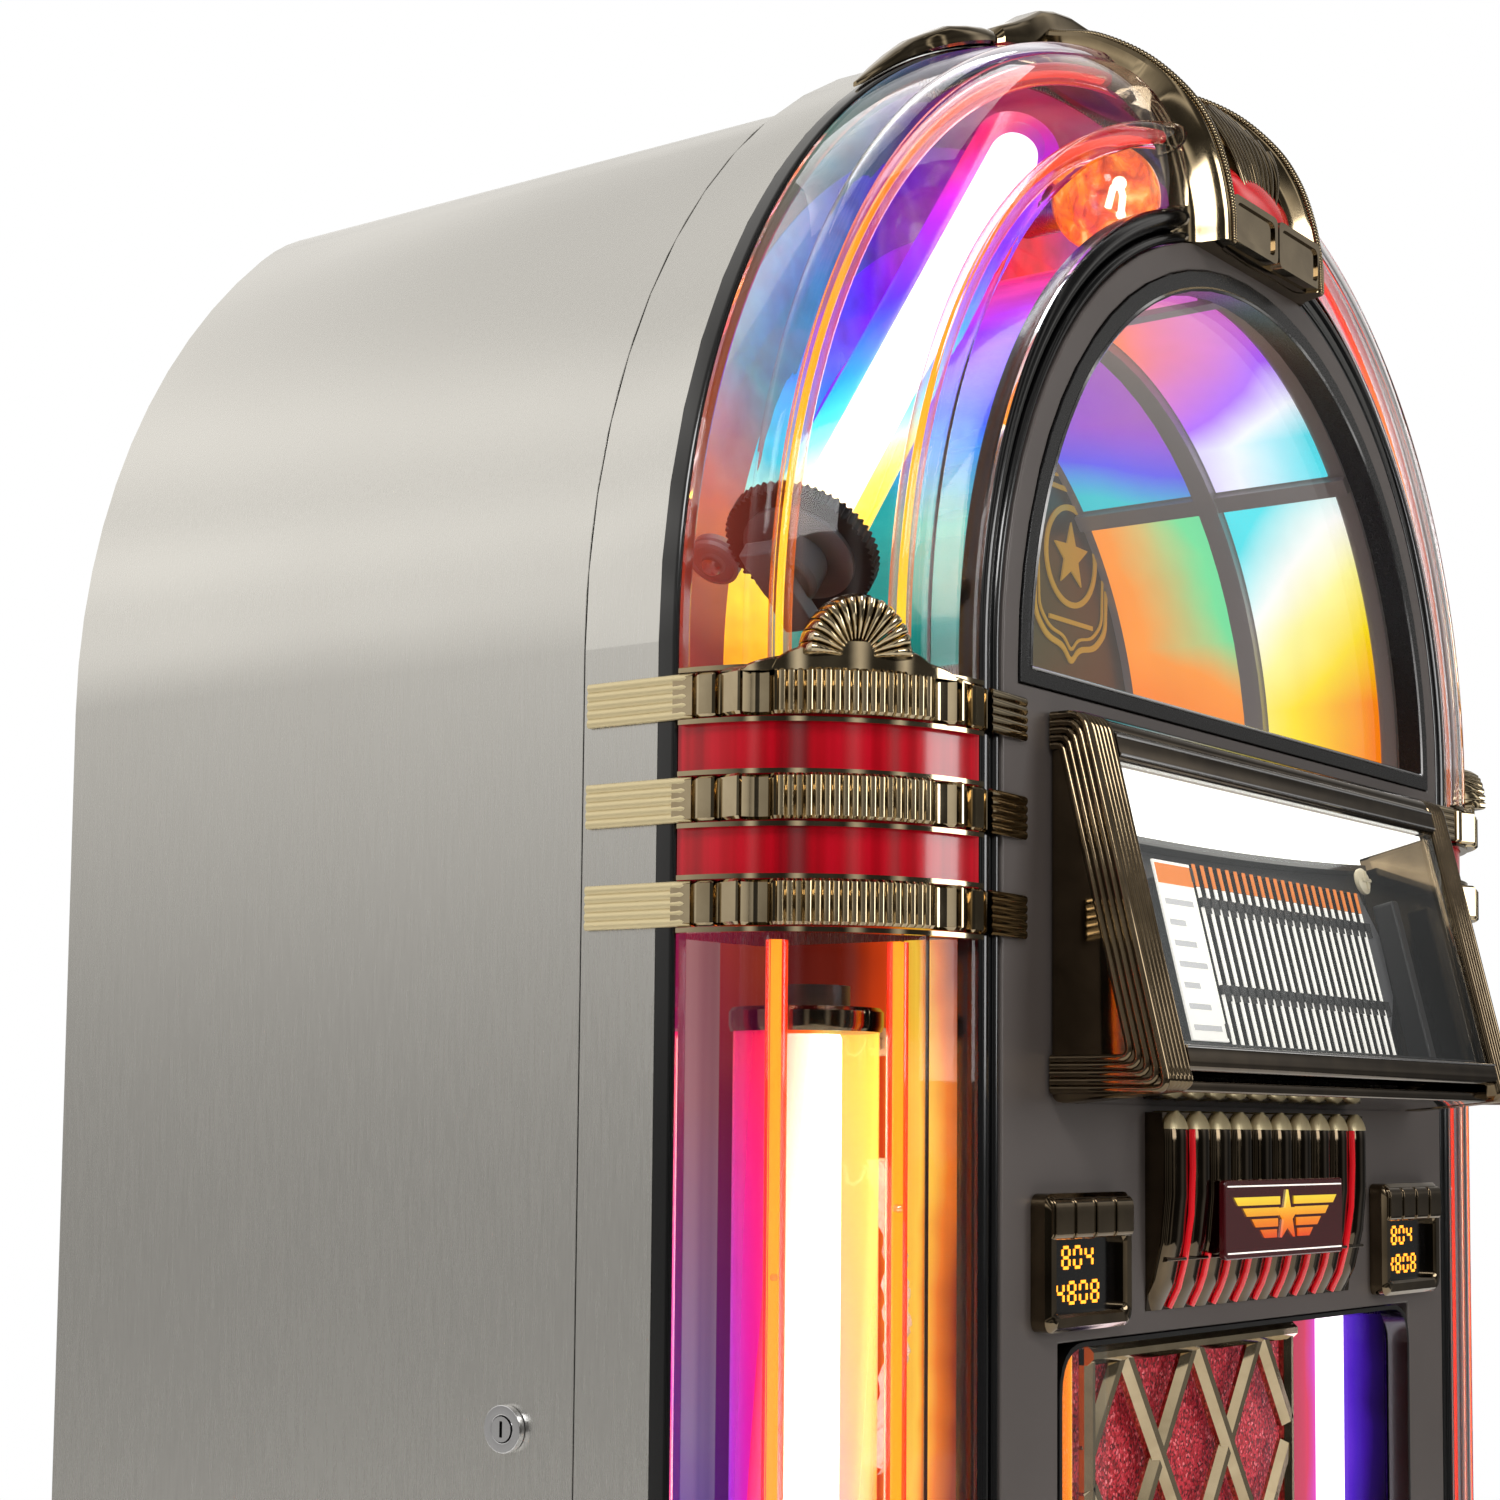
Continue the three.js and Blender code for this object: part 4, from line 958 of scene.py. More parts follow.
def add_globe():
    """The amber bulb near the top of the arch, its filament and its socket."""
    globe = Matrix.Translation(arch_point(1, 332, math.radians(92.5), -152) * SCALE)
    local_piece("amber_globe", ball((0, 0, 0), 33, 20), GLOBE, "bubble_amber", globe)
    filament = merged(tube([(-9, -6, -9), (-6, -8, 4), (0, -9, 9), (6, -8, 2), (7, -6, -9)], 2.2, 10),
                      ball((0, -9, 8), 4.4, 12), ball((7, -6, -9), 3, 12))
    local_piece("globe_filament", filament, HOT, "lamp_white", globe)
    socket = moved(revolved([(0, -62), (11, -62), (14, -57), (14, -30), (0, -30)], 32), LYING)
    local_piece("globe_socket", socket, STEEL, "steel", globe)


# ---- Gilt bands with their fan shells ----
BAND_MIDDLE = 0.53
FLUTES = 18
FLUTED_HALF = 0.215
RAISED_HALF = 0.13
# Offsets out of the cover from the band's edge to its fluted middle, by distance from the middle.
BAND_STEPS = ((0.53, 5.0), (0.465, 5.0), (0.462, 2.4), (0.452, 2.4), (0.448, 5.6), (0.44, 6.4), (0.40, 6.4),
              (0.392, 5.6), (0.388, 2.8), (0.382, 2.8), (0.38, 4.4), (0.318, 11.6), (0.312, 11.6),
              (0.309, 8.4), (0.29, 5.4), (0.265, 4.6), (0.24, 5.6), (0.226, 8.6), (0.222, 11.0),
              (0.215, 11.0))
BAND_RIBS = 5
TIP_X = 262


def cover_by_length(steps=400):
    """Cover angles, with the distance along its curve to each."""
    angles = [math.pi / 2 * i / steps for i in range(steps + 1)]
    walked = [0.0]
    for a, b in zip(angles, angles[1:]):
        walked.append(walked[-1] + (Vector(cover_point(b)) - Vector(cover_point(a))).length)
    return angles, walked


COVER_ANGLES, COVER_WALK = cover_by_length()


def cover_angle(share):
    """The cover angle a share of the way along the curve from the rear edge."""
    goal = share * COVER_WALK[-1]
    i = next(k for k, w in enumerate(COVER_WALK) if w >= goal)
    if i == 0:
        return 0.0
    (a, b), (before, after) = COVER_ANGLES[i - 1:i + 1], COVER_WALK[i - 1:i + 1]
    return a + (b - a) * (goal - before) / (after - before)


def on_cover(share, offset):
    """A (radius, y) point a share of the way along the cover's curve."""
    return cover_point(cover_angle(share), offset)


def band_offset(share):
    """How far the band stands out of the cover at a place along its curve."""
    away = abs(share - BAND_MIDDLE)
    if away < FLUTED_HALF:
        phase = (share - BAND_MIDDLE + FLUTED_HALF) / (2 * FLUTED_HALF) * FLUTES
        crest = abs(math.sin(math.pi * phase)) ** 0.6
        lift = 1.8 if away < RAISED_HALF else 0.0
        return 9.4 + lift + 2.2 * crest
    for (a, low), (b, high) in zip(BAND_STEPS, BAND_STEPS[1:]):
        if b <= away <= a:
            return low + (high - low) * (a - away) / max(a - b, 1e-6)
    return BAND_STEPS[0][1]


def band_shares():
    """Places along the band: even steps, closer over the flutes, and every corner of its steps."""
    shares = {round(i / 60, 5) for i in range(61)}
    span, count = 2 * FLUTED_HALF, FLUTES * 8
    shares |= {round(BAND_MIDDLE - FLUTED_HALF + span * i / count, 5) for i in range(count + 1)}
    for away, _ in BAND_STEPS:
        shares |= {round(BAND_MIDDLE + s * away, 5) for s in (-1, 1)}
    return sorted(s for s in shares if 0.0 <= s <= 1.0)


def band_body(top):
    """The casting over the bulge, its upper and lower edges softened."""
    rings, foot = [], top - BAND_HEIGHT
    for share in band_shares():
        out = band_offset(share)
        levels = ((foot, out - 1.6), (foot + 1.4, out), (top - 1.4, out), (top, out - 1.6), (top, 0.6),
                  (foot, 0.6))
        rings.append([(*on_cover(share, depth), z) for z, depth in levels])
    return lofted(rings)


def band_lip(low):
    """A thin raised lip that runs the whole length of the cover."""
    shares = [0.02 + 0.96 * i / 60 for i in range(61)]
    line = [on_cover(share, 5.2) for share in shares] + [on_cover(1 - share, 0.6) for share in shares]
    return prism(line, "z", low, low + 2.4)


def ribbed_strip(path, facing, top):
    """A strip along a path in plan, ribbed along its whole length; facing is the way each part looks."""
    rings, steps = [], BAND_RIBS * 6
    for (x, y), (fx, fy) in zip(path, facing):
        front = []
        for i in range(steps + 1):
            share = i / steps
            d = 1.6 + abs(math.sin(math.pi * share * BAND_RIBS)) ** 0.7
            front.append((x + fx * d, y + fy * d, top - BAND_HEIGHT + BAND_HEIGHT * share))
        rings.append(front + [(x, y, top), (x, y, top - BAND_HEIGHT)])
    return lofted(rings)


def fan_rib(middle, half):
    """One rib of the fan, from its hub out to a tip that curls over."""
    reach, rise, hub, rings = 29.0, 33.0, 5, []
    for k in range(13):
        share = k / 12
        width = half * (0.9 if share > 0.15 else 0.6)
        bulge = 4 + 9.5 * math.sin(math.pi * min(1.0, share * 1.12) * 0.62)
        tip = max(0.0, share - 0.8) / 0.2
        scale = hub + (rise - hub) * share - 1.5 * tip
        cross = []
        for turn in (math.pi * j / 8 for j in range(9)):
            a = middle + width * math.cos(turn)
            lift = bulge * (1 - 0.75 * tip ** 2) + 2.4 * math.sin(turn)
            cross.append((scale * reach / rise * math.cos(a), -lift, scale * math.sin(a)))
        rings.append(cross + [(cross[-1][0], 3, cross[-1][2]), (cross[0][0], 3, cross[0][2])])
    return lofted(rings)


def fan_shell(ribs=15):
    """The scallop that crowns the top band: ribs spread from a hub."""
    shape = [fan_rib(math.pi * (i + 0.5) / ribs, math.pi / ribs / 2) for i in range(ribs)]
    hub = revolved([(0, 9), (5, 8), (7.5, 4), (8, 0), (8, -3), (0, -3)], 24)
    return merged(*shape, moved(hub, LYING))


def shoulder_steps(top, count=40):
    """Stepped shoulders that sweep up to the fan on both sides, following the bulge."""
    shapes, steps = [], ((0.16, 0.90, 3.5, 7.6), (0.22, 0.84, 8.5, 9.0), (0.30, 0.76, 14.5, 10.4))
    for first, last, height, out in steps:
        rings = []
        for i in range(count + 1):
            share = first + (last - first) * i / count
            z = top + max(0.4, height * math.sin(math.pi * i / count) ** 0.45)
            corners = ((0.8, top - 1), (out, top - 1), (out, z - 1.2), (out - 1.4, z), (0.8, z))
            rings.append([(*on_cover(share, depth), level) for depth, level in corners])
        shapes.append(lofted(rings))
    return merged(*shapes)


def band_crest(top):
    """The stepped shoulders and the fan that stand on the top band."""
    x, y = on_cover(BAND_MIDDLE, 1.0)
    facing = Matrix.Translation((x, y, top + 6)) @ Matrix.Rotation(math.radians(42), 4, "Z")
    return merged(shoulder_steps(top), moved(fan_shell(), facing))


def add_bands():
    strap_path = [(HALF_WIDTH + 0.5, y) for y in (SEAM_Y - 4, SEAM_Y - 8, TRIM_Y - 2, TRIM_Y - 6)]
    strap_path.append(on_cover(0.06, 2.2))
    tip_path = [(COVER_INNER_R - 3, FRONT_Y - 3), (290, FRONT_Y - 2.5), (TIP_X + 2, FRONT_Y - 0.8),
                (TIP_X, FRONT_Y - 0.5)]
    for name, top in zip(BAND_LEVELS, BAND_TOPS):
        strap = ribbed_strip(strap_path, [(1, 0)] * 4 + [(0.96, -0.25)], top)
        casting = [band_body(top), ribbed_strip(tip_path, [(0, -1)] * 4, top),
                   band_lip(top - BAND_HEIGHT - 3.0), band_lip(top + 0.4)]
        if name == "upper":
            casting.append(band_crest(top))
        for side, sign in SIDES:
            piece(f"{name}_band_casting_{side}", mirrored(merged(*casting), sign), GOLD, "gold_chrome",
                  [f"{name}_band_{side}"], smooth=28)
            piece(f"{name}_band_strap_{side}", mirrored(strap, sign), SATIN_GOLD, "strap_gold", smooth=50)


# ---- The crown ----
CROWN_HALF = 62
# Places down the rim of the crown in Y and Z, from behind its top to the panel under the arch.
CROWN_RIM = ((-112, 1500), (-128, 1500), (-146, 1495), (-172, 1487), (-204, 1467), (-230, 1441),
             (-245, 1417), (-254, 1392), (-259, 1366), (-260, 1345))
CROWN_RECESS = 12.5
# One wing from its spike to the middle of the crown: |x|, top height, depth from front to back, thickness.
CROWN_WING = ((250, 1408, 2, 3), (244, 1413, 5, 7), (232, 1423, 9, 12), (216, 1436, 12, 15),
              (200, 1448, 12, 15), (184, 1457, 13, 16), (180, 1459, 17, 22), (168, 1466, 21, 25),
              (150, 1472, 23, 26), (132, 1477, 23, 26), (120, 1480, 20, 24), (117, 1480, 14, 17),
              (112, 1482, 14, 17), (109, 1486, 20, 25), (95, 1493, 22, 26), (80, 1501, 23, 27),
              (66, 1510, 24, 28), (50, 1515, 24, 28), (30, 1518.4, 24, 28), (0, 1518.6, 24, 28))
WING_Y = -126


def smooth_line(points, count):
    """A Catmull-Rom line through points, at even parameter steps."""
    points = [Vector(p) for p in points]
    ends = [points[0] * 2 - points[1], *points, points[-1] * 2 - points[-2]]
    made = []
    for i in range(count + 1):
        at = i / count * (len(points) - 1)
        k = min(int(at), len(points) - 2)
        t = at - k
        a, b, c, d = ends[k:k + 4]
        bend, twist = 2 * a - 5 * b + 4 * c - d, 3 * b - a - 3 * c + d
        made.append(0.5 * (2 * b + (c - a) * t + bend * t ** 2 + twist * t ** 3))
    return made


def crown_frames(count=72):
    """Rim places with the direction that points out of the crown at each."""
    line = smooth_line(CROWN_RIM, count)
    frames = []
    for i, point in enumerate(line):
        along = (line[min(i + 1, count)] - line[max(i - 1, 0)]).normalized()
        frames.append((point, Vector((along.y, -along.x))))
    return frames


CROWN_FRAMES = crown_frames()


def crown_section(flank):
    """Across the strap: |x| and depth below the rim, from the foot of one flank to the other."""
    beside = ((flank, -27), (flank * 0.62, -23), (flank * 0.3, -15), (3.8, -3.2), (2.4, -0.6), (1.4, -0.4),
              (0.6, -1.6), (-1.2, -0.4), (-4.6, -0.4), (-6.0, -2.2), (-8.4, -8.5), (-11, -11.5),
              (-16, -12.5))
    half = [(CROWN_HALF + x, depth) for x, depth in beside]
    return half + [(-x, depth) for x, depth in half[::-1]]


def crown_strap():
    rings, back = [], 28
    for i, (point, out) in enumerate(CROWN_FRAMES):
        share = i / (len(CROWN_FRAMES) - 1)
        lobe = min(1.0, max(0.0, (share - 0.46) / 0.1))
        flank = 7 + 19 * math.sin(lobe * math.pi / 2) - 3 * max(0.0, share - 0.7)
        section = crown_section(flank) + [(-CROWN_HALF - 2, -back), (CROWN_HALF + 2, -back)]
        rings.append([(x, point.x + out.x * depth, point.y + out.y * depth) for x, depth in section])
    return lofted(rings)


def crown_beads():
    """The roped line of beads along both rims."""
    line = smooth_line(CROWN_RIM, 118)[8:]
    reach = CROWN_HALF - 2.9
    places = [(x, point.x - 0.5, point.y + 0.5) for x in (-reach, reach) for point in line]
    return merged(*[ball(place, 2.1, 5) for place in places])


def crown_place(share, x, lift=0.0):
    """A place on the crown's recess: share runs down the rim line."""
    at = share * (len(CROWN_FRAMES) - 1)
    i = min(int(at), len(CROWN_FRAMES) - 2)
    (point, out), (next_point, next_out) = CROWN_FRAMES[i:i + 2]
    point, out = point.lerp(next_point, at - i), out.lerp(next_out, at - i).normalized()
    depth = lift - CROWN_RECESS
    return x, point.x + out.x * depth, point.y + out.y * depth


def crown_rib(spread):
    """One rib of the fan in the recess; spread is -1 at the left and 1 at the right."""
    rings = []
    for along in (k / 10 for k in range(11)):
        share = 0.86 - 0.34 * along * (1 - 0.25 * spread * spread)
        x = spread * (8 + 38 * along ** 0.8)
        half = 0.5 + 3.4 * along
        swell = 3 + 7 * math.sin(math.pi * min(1, along * 1.05) * 0.55)
        turns = [math.pi * j / 6 for j in range(7)]
        ring = [crown_place(share, x + half * math.cos(a), swell + half * 0.7 * math.sin(a)) for a in turns]
        rings.append(ring + [crown_place(share, x - half, -1.5), crown_place(share, x + half, -1.5)])
    return lofted(rings)


def crown_fan(ribs=11):
    """Ribs that spread upwards from the jewel inside the recess."""
    return merged(*[crown_rib((i + 0.5) / ribs * 2 - 1) for i in range(ribs)])


def crown_jewel(count=28):
    """A domed red jewel, scalloped along its upper edge."""
    rings = []
    for down in (i / count for i in range(count + 1)):
        share = 0.70 + 0.20 * down
        reach = 46 * min(1.0, 0.25 + 1.6 * down ** 0.7)
        ring = []
        for u in (j / 20 * 2 - 1 for j in range(21)):
            dome = math.sqrt(max(0.0, 1 - u * u)) * math.sin(math.pi * min(1, 0.15 + down * 0.85))
            ring.append(crown_place(share, reach * u, 2 + 6.5 * dome))
        rings.append(ring + [crown_place(share, reach, -1), crown_place(share, -reach, -1)])
    return lofted(rings)


def crown_foot():
    """The foot of the strap: a plate with two rounded recesses either side of a middle bar."""
    front, low = CROWN_RIM[-1]
    high, half = low + 30, CROWN_HALF - 1
    shapes = [slab(-half, half, front + 7, FRONT_Y - 0.5, low, high)]
    for x0, x1 in ((5 - half, -3.5), (3.5, half - 5)):
        outer = rounded(rectangle(x0 - 2.5, x1 + 2.5, low + 1, high - 1), 5)
        inner = rounded(rectangle(x0 + 1.5, x1 - 1.5, low + 5, high - 5), 5)
        shapes.append(surround((outer, front + 7.5), (outer, front - 0.5), (inner, front - 0.5),
                               (inner, front + 7.5)))
        cx, cz = (x0 + x1) / 2, (low + high) / 2
        bowl = []
        for share in (k / 6 for k in range(7)):
            size, y = 1 - 0.75 * share, front + 1 + 5.4 * math.sin(share * math.pi / 2)
            bowl.append([(cx + (x - cx) * size, y, cz + (z - cz) * size) for x, z in inner])
        bowl.append([(x, y + 1.0, z) for x, y, z in bowl[-1]])
        shapes.append(lofted(bowl))
    return merged(*shapes)


def crown_wing(sign):
    """One wing over the outer trim: a spike, a hollow and a rounded block, down to the strap."""
    rings = []
    for x, top, depth, height in CROWN_WING:
        seat = ARCH_Z + math.sqrt((HALF_WIDTH + 0.6) ** 2 - x ** 2)
        low = max(seat, top - height) if x > 40 else top - height
        foot, crest = depth * 0.62, depth * 0.62 * 0.8
        corners = [(WING_Y - foot, low), (WING_Y + foot, low), (WING_Y + crest, top), (WING_Y - crest, top)]
        rings.append([(sign * x, y, z) for y, z in rounded(corners, min(5, height * 0.3), 3)])
    return lofted(rings)


def add_crown():
    parts = [crown_strap(), crown_foot(), crown_fan(), crown_wing(-1), crown_wing(1)]
    piece("crown_casting", merged(*parts), SHADED_CROWN_GOLD, "gold_chrome", ["crown"], smooth=30)
    piece("crown_rope_edge", crown_beads(), SHADED_CROWN_GOLD, "gold_chrome", smooth=60)
    piece("crown_jewel", crown_jewel(), JEWEL, "crimson", smooth=50)


# ---- Window, dome and its lit panels ----
DOME_SECTORS = ((1.5, 43.2), (46.8, 88.6), (91.4, 133.2), (136.8, 178.5))


def dome_panel(degrees, y0, y1, radius, wall=1.2):
    """A thin curved light panel on the dome, between two angles in degrees."""
    steps, (first, last) = 24, degrees
    turns = [math.radians(first + (last - first) * i / steps) for i in range(steps + 1)]
    section = [(radius, y0), (radius - wall, y0), (radius - wall, y1), (radius, y1)]
    return swept(section, [(a, ARCH_Z) for a in turns])


def add_window():
    keep("window_gasket", GASKET, bevel=4.0, segments=4)
    keep("window_glass", WINDOW_GLASS, bevel=0.4)
    radius, sill = WINDOW_R - 4.2, ARCH_Z - 1
    corners = ((7.4, -241.2), (6.2, -242.0), (5.0, -241.2), (6.2, -240.6))
    section = [(radius - away, y) for away, y in corners]
    edge = tube([(6 - radius, -241.0, sill), (radius - 6, -241.0, sill)], 1.0, 10)
    piece("window_bright_edge", merged(swept(section, arch_arc()), edge), BRIGHT_STEEL, "steel")


def add_dome():
    keep("dome_liner", DOME_METAL, bevel=1.2)
    keep("dome_rear_wall", OLIVE, bevel=0.4)
    low, high = box("dome_liner")
    middle, back = (low.y + high.y) / 2, high.y - 9
    for bay, y0, y1 in (("front", low.y + 11, middle - 8.5), ("rear", middle + 8.5, back + 2)):
        for k, degrees in enumerate(DOME_SECTORS):
            panel = dome_panel(degrees, y0, y1, high.x - 7.4)
            piece(f"dome_light_{bay}_{k + 1}", panel, DOME_GLOW[bay][min(k, 3 - k)], "rainbow", smooth=60)
    floor, reach = ARCH_Z - 8, 248
    rails = [slab(x - 6, x + 6, low.y + 4, back, floor, floor + 6) for x in (-reach, reach)]
    rails.append(slab(-reach - 2, reach + 2, low.y + 2, low.y + 16, floor, floor + 5))
    piece("dome_floor_rails", merged(*rails), DOME_METAL, "panel_grey", bevel=1.0)
    add_emblem(box("dome_rear_wall")[0].y)


def shield(scale):
    """The (x, z) outline of a shield, pointed at its top and foot."""
    right = [(0, 70), (18, 62), (50, 62), (54, 46), (50, -48), (34, -62), (10, -66), (0, -78)]
    left = [(-x, z) for x, z in right[-2:0:-1]]
    corners = left[-2:] + right + left[:-2]
    return [(x * scale, z * scale) for x, z in rounded(corners, 8)]


def circle(radius, count=48):
    """(x, z) points round a circle."""
    turns = [2 * math.pi * i / count for i in range(count)]
    return [(radius * math.cos(a), radius * math.sin(a)) for a in turns]


def add_emblem(wall_y):
    """A plain gilt shield with a ring and a star, drawn in thin raised lines on the dome's rear wall."""
    front = -1.2
    star = [(r * math.cos(a), r * math.sin(a)) for r, a in
            ((10 if i % 2 else 24, math.pi / 2 + math.pi * i / 5) for i in range(10))]
    lines = ((shield(1.0), shield(0.94)), (shield(0.88), shield(0.85)), (circle(36), circle(32)))
    shapes = [surround((outer, front), (outer, 0), (inner, 0), (inner, front)) for outer, inner in lines]
    shapes.append(prism(star, "y", front, 0))
    shapes += [slab(-30, 30, front, 0, z - 1.5, z + 1.5) for z in (46, -46)]
    at = Matrix.Translation((172, wall_y - 0.3, ARCH_Z + 158))
    piece("dome_emblem", moved(merged(*shapes), at), OLD_GOLD, "strap_gold")


# ---- Title display ----
FACE_TILT = math.atan2(44.5, 179)
FACE_Y, FACE_Z = -286, 955.5
FACE = Matrix.Translation((0, FACE_Y, FACE_Z)) @ Matrix.Rotation(-FACE_TILT, 4, "X")
OPENING_HALF = 210
OPENING_LOW, OPENING_HIGH = -78, 74
HOUSING_HALF = 236
HOUSING_BACK, HOUSING_TOP = -240.4, 1051
HOUSING_OUTLINE = ((HOUSING_BACK, HOUSING_TOP), (-257, HOUSING_TOP), (-264, 1045), (-308.5, 866),
                   (-311, 860), (-306, 855), (HOUSING_BACK, 848))
PAGE_AXIS_X, PAGE_AXIS_DEPTH, PAGE_WIDTH = -131, 14, 42
PAGE_LOW, PAGE_HIGH = -73, 28
LEAF_COUNT, LEAF_FIRST_X, LEAF_PITCH = 22, -126, 10.2
LEAF_FRONT = 13.4


def on_face(shape):
    """Stands a shape drawn on the display's leaning face in its place: y runs into the face, z up it."""
    return moved(shape, FACE)


def face_slab(x0, x1, y0, y1, z0, z1):
    return on_face(slab(x0, x1, y0, y1, z0, z1))


def widened(outline, by):
    """A closed outline moved outwards by a distance, square to its own line."""
    made = []
    for i, point in enumerate(outline):
        along = (Vector(outline[(i + 1) % len(outline)]) - Vector(outline[i - 1])).normalized()
        made.append(tuple(Vector(point) + Vector((along.y, -along.x)) * by))
    return made


def display_side(sign, ribs=6):
    """A rounded end of the housing, ribbed from front to back and drawn in at its outer edge."""
    outline = rounded(HOUSING_OUTLINE, 7, 5)
    low, count, rings = OPENING_HALF + 0.2, ribs * 8, []
    for share in (i / count for i in range(count + 1)):
        crest = abs(math.sin(math.pi * share * ribs)) ** 0.6
        edge = 3.5 * max(0.0, (share - 0.86) / 0.14) ** 2
        x = sign * (low + (HOUSING_HALF - low) * share)
        rings.append([(x, y, z) for y, z in widened(outline, -2.8 * (1 - crest) - edge)])
    return lofted(rings)


def display_end_rib(sign, depth):
    """A rib on the housing's end that follows its front edge and wraps over the top and bottom."""
    lean, rise, back = math.cos(FACE_TILT), math.sin(FACE_TILT), -241.5
    corners = []
    for level in (HOUSING_TOP - depth, 853 + depth):
        up = (level - FACE_Z + depth * rise) / lean
        corners.append((FACE_Y + depth * lean + up * rise, level))
    line = [(back, corners[0][1]), *corners, (back, corners[1][1])]
    return tube([(sign * (HOUSING_HALF - 0.6), y, z) for y, z in rounded_line(line, 8)], 2.3, 12)


def opening_bar(outline, radius, steps=4):
    """A bar as wide as the opening, from its (y, z) outline."""
    return prism(rounded(outline, radius, steps), "x", -OPENING_HALF, OPENING_HALF)


def add_display():
    ends = [display_side(-1), display_side(1)]
    ends += [display_end_rib(sign, 2.6 + 3.9 * k) for sign in (-1, 1) for k in range(5)]
    piece("display_casting", merged(*ends), SHADED_GOLD, "gold_chrome", ["display_housing"], smooth=40)
    top = [(-0.2, OPENING_HIGH), (-0.2, 88), (2.5, 91.6), (26, 85.6), (40, 82), (46, OPENING_HIGH)]
    foot = [(0, OPENING_LOW), (44, OPENING_LOW), (44, -84), (30, -84), (12, -91), (2, -92), (-0.2, -88)]
    bars = on_face(merged(opening_bar(top, 3, 3), opening_bar(foot, 3, 3)))
    piece("display_bars", bars, DEEP_SHADED_GOLD, "gold_chrome", smooth=40)
    hood = opening_bar([(HOUSING_BACK, HOUSING_TOP), (-257, HOUSING_TOP), (-263.6, 1044.5), (-262, 1036),
                        (HOUSING_BACK, 1036)], 5)
    under = opening_bar([(HOUSING_BACK, 848.4), (-300, 855), (-300, 861), (HOUSING_BACK, 861)], 2)
    piece("display_hood", merged(hood, under), DEEP_SHADED_GOLD, "gold_chrome", smooth=40)
    lines = [opening_bar(rectangle(*sizes), 3, 3) for sizes in
             ((-0.9, 1.0, 86.0, 87.6), (-1.0, 2.4, 75.6, 77.2), (-0.9, 1.0, -80.6, -79.2))]
    piece("display_bright_lines", on_face(merged(*lines)), BRIGHT_STEEL, "steel")
    keep("display_glass", DISPLAY_GLASS, bevel=0.3)
    low, high = OPENING_LOW + 2, OPENING_HIGH - 2
    walls = [face_slab(x, x + 1, 8, 57, low, high) for x in (0.2 - OPENING_HALF, OPENING_HALF - 1.2)]
    piece("display_side_mirrors", merged(*walls), SHADED_GOLD, "gold_chrome")
    floor = face_slab(-204, 204, 7, 57, OPENING_LOW + 0.4, OPENING_LOW + 3)
    piece("display_floor", floor, BLACK, "black_gloss", bevel=0.4)


def add_title_rack():
    plate = face_slab(-204.6, 204.6, 58, 62, -74, 66)
    piece("title_rack_plate", plate, DARK, "dark_plastic", ["title_rack"], bevel=0.6)
    curve = [(x, 56 + 10 * max(0.0, (x + 120) / 320) ** 2.0) for x in range(-200, 201, 10)]
    header = prism([(-200, 72.5), *curve, (200, 72.5)], "y", 50, 57)
    ceiling = slab(-201, 201, 7.5, 50, 70.5, 73)
    piece("title_header_light", on_face(merged(header, ceiling)), HEADER, "lamp_white")
    rim = prism([(x, z - 0.6) for x, z in curve] + [(x, z - 5) for x, z in curve[::-1]], "y", 47, 57)
    piece("title_header_rim", on_face(rim), BLACK, "black_gloss")


def leaf_clips(x):
    """The edge of one leaf and the two hooks that hold it."""
    shapes = [slab(x, x + 1.6, 14.2, 58, PAGE_LOW, PAGE_HIGH)]
    for z in (6, -43):
        shapes.append(slab(x - 1.6, x + 6.6, 11.6, 18, z - 2.6, z + 2.6))
        shapes.append(slab(x + 3.4, x + 6.6, 11.6, 18, z - 6.4, z - 2.6))
    return merged(*shapes)


def add_title_leaves():
    """The row of leaves seen edge on, each with an orange tip, in its clips."""
    places = [LEAF_FIRST_X + LEAF_PITCH * i for i in range(LEAF_COUNT)]

    def strips(low, high):
        shapes = [slab(x - 0.8, x + 2.6, LEAF_FRONT, LEAF_FRONT + 0.6, low, high) for x in places]
        return on_face(merged(*shapes))

    piece("title_leaves", strips(PAGE_LOW, PAGE_HIGH - 13), LIT_PAPER, "paper")
    piece("title_leaf_tips", strips(PAGE_HIGH - 12.6, PAGE_HIGH), ORANGE_PAPER, "paper")
    clips = on_face(merged(*[leaf_clips(x) for x in places]))
    piece("title_leaf_clips", clips, BLACK, "black_gloss")


def add_title_ends():
    """The knob, the plate and the posts at the ends of the rack."""
    screw = merged(revolved([(0, 0), (7.5, 0), (8.5, 1), (8.5, 3), (6, 4.4), (0, 4.8)], 32),
                   slab(-6, 6, -1, 1, 4, 5.4), slab(-1, 1, -6, 6, 4, 5.4))
    knob = moved(screw, Matrix.Translation((141, 30, 44)) @ LYING)
    piece("title_knob", on_face(knob), CREAM, "cream_plastic", smooth=40)
    corner = [(112, -44), (150, -62), (176, -26), (178, 14), (160, 42), (128, 26), (112, 10)]
    piece("title_end_plate", on_face(prism(corner, "y", 40, 46)), GREY, "dark_plastic", bevel=1.2)
    right = prism(rounded(rectangle(176, 186, -72, 34), 3), "y", 26, 40)
    left = prism([(-203, -74), (-180, -74), (-186, 44), (-203, 50)], "y", 40, 46)
    piece("title_end_posts", on_face(merged(right, left)), DARK, "dark_plastic", bevel=1.0)


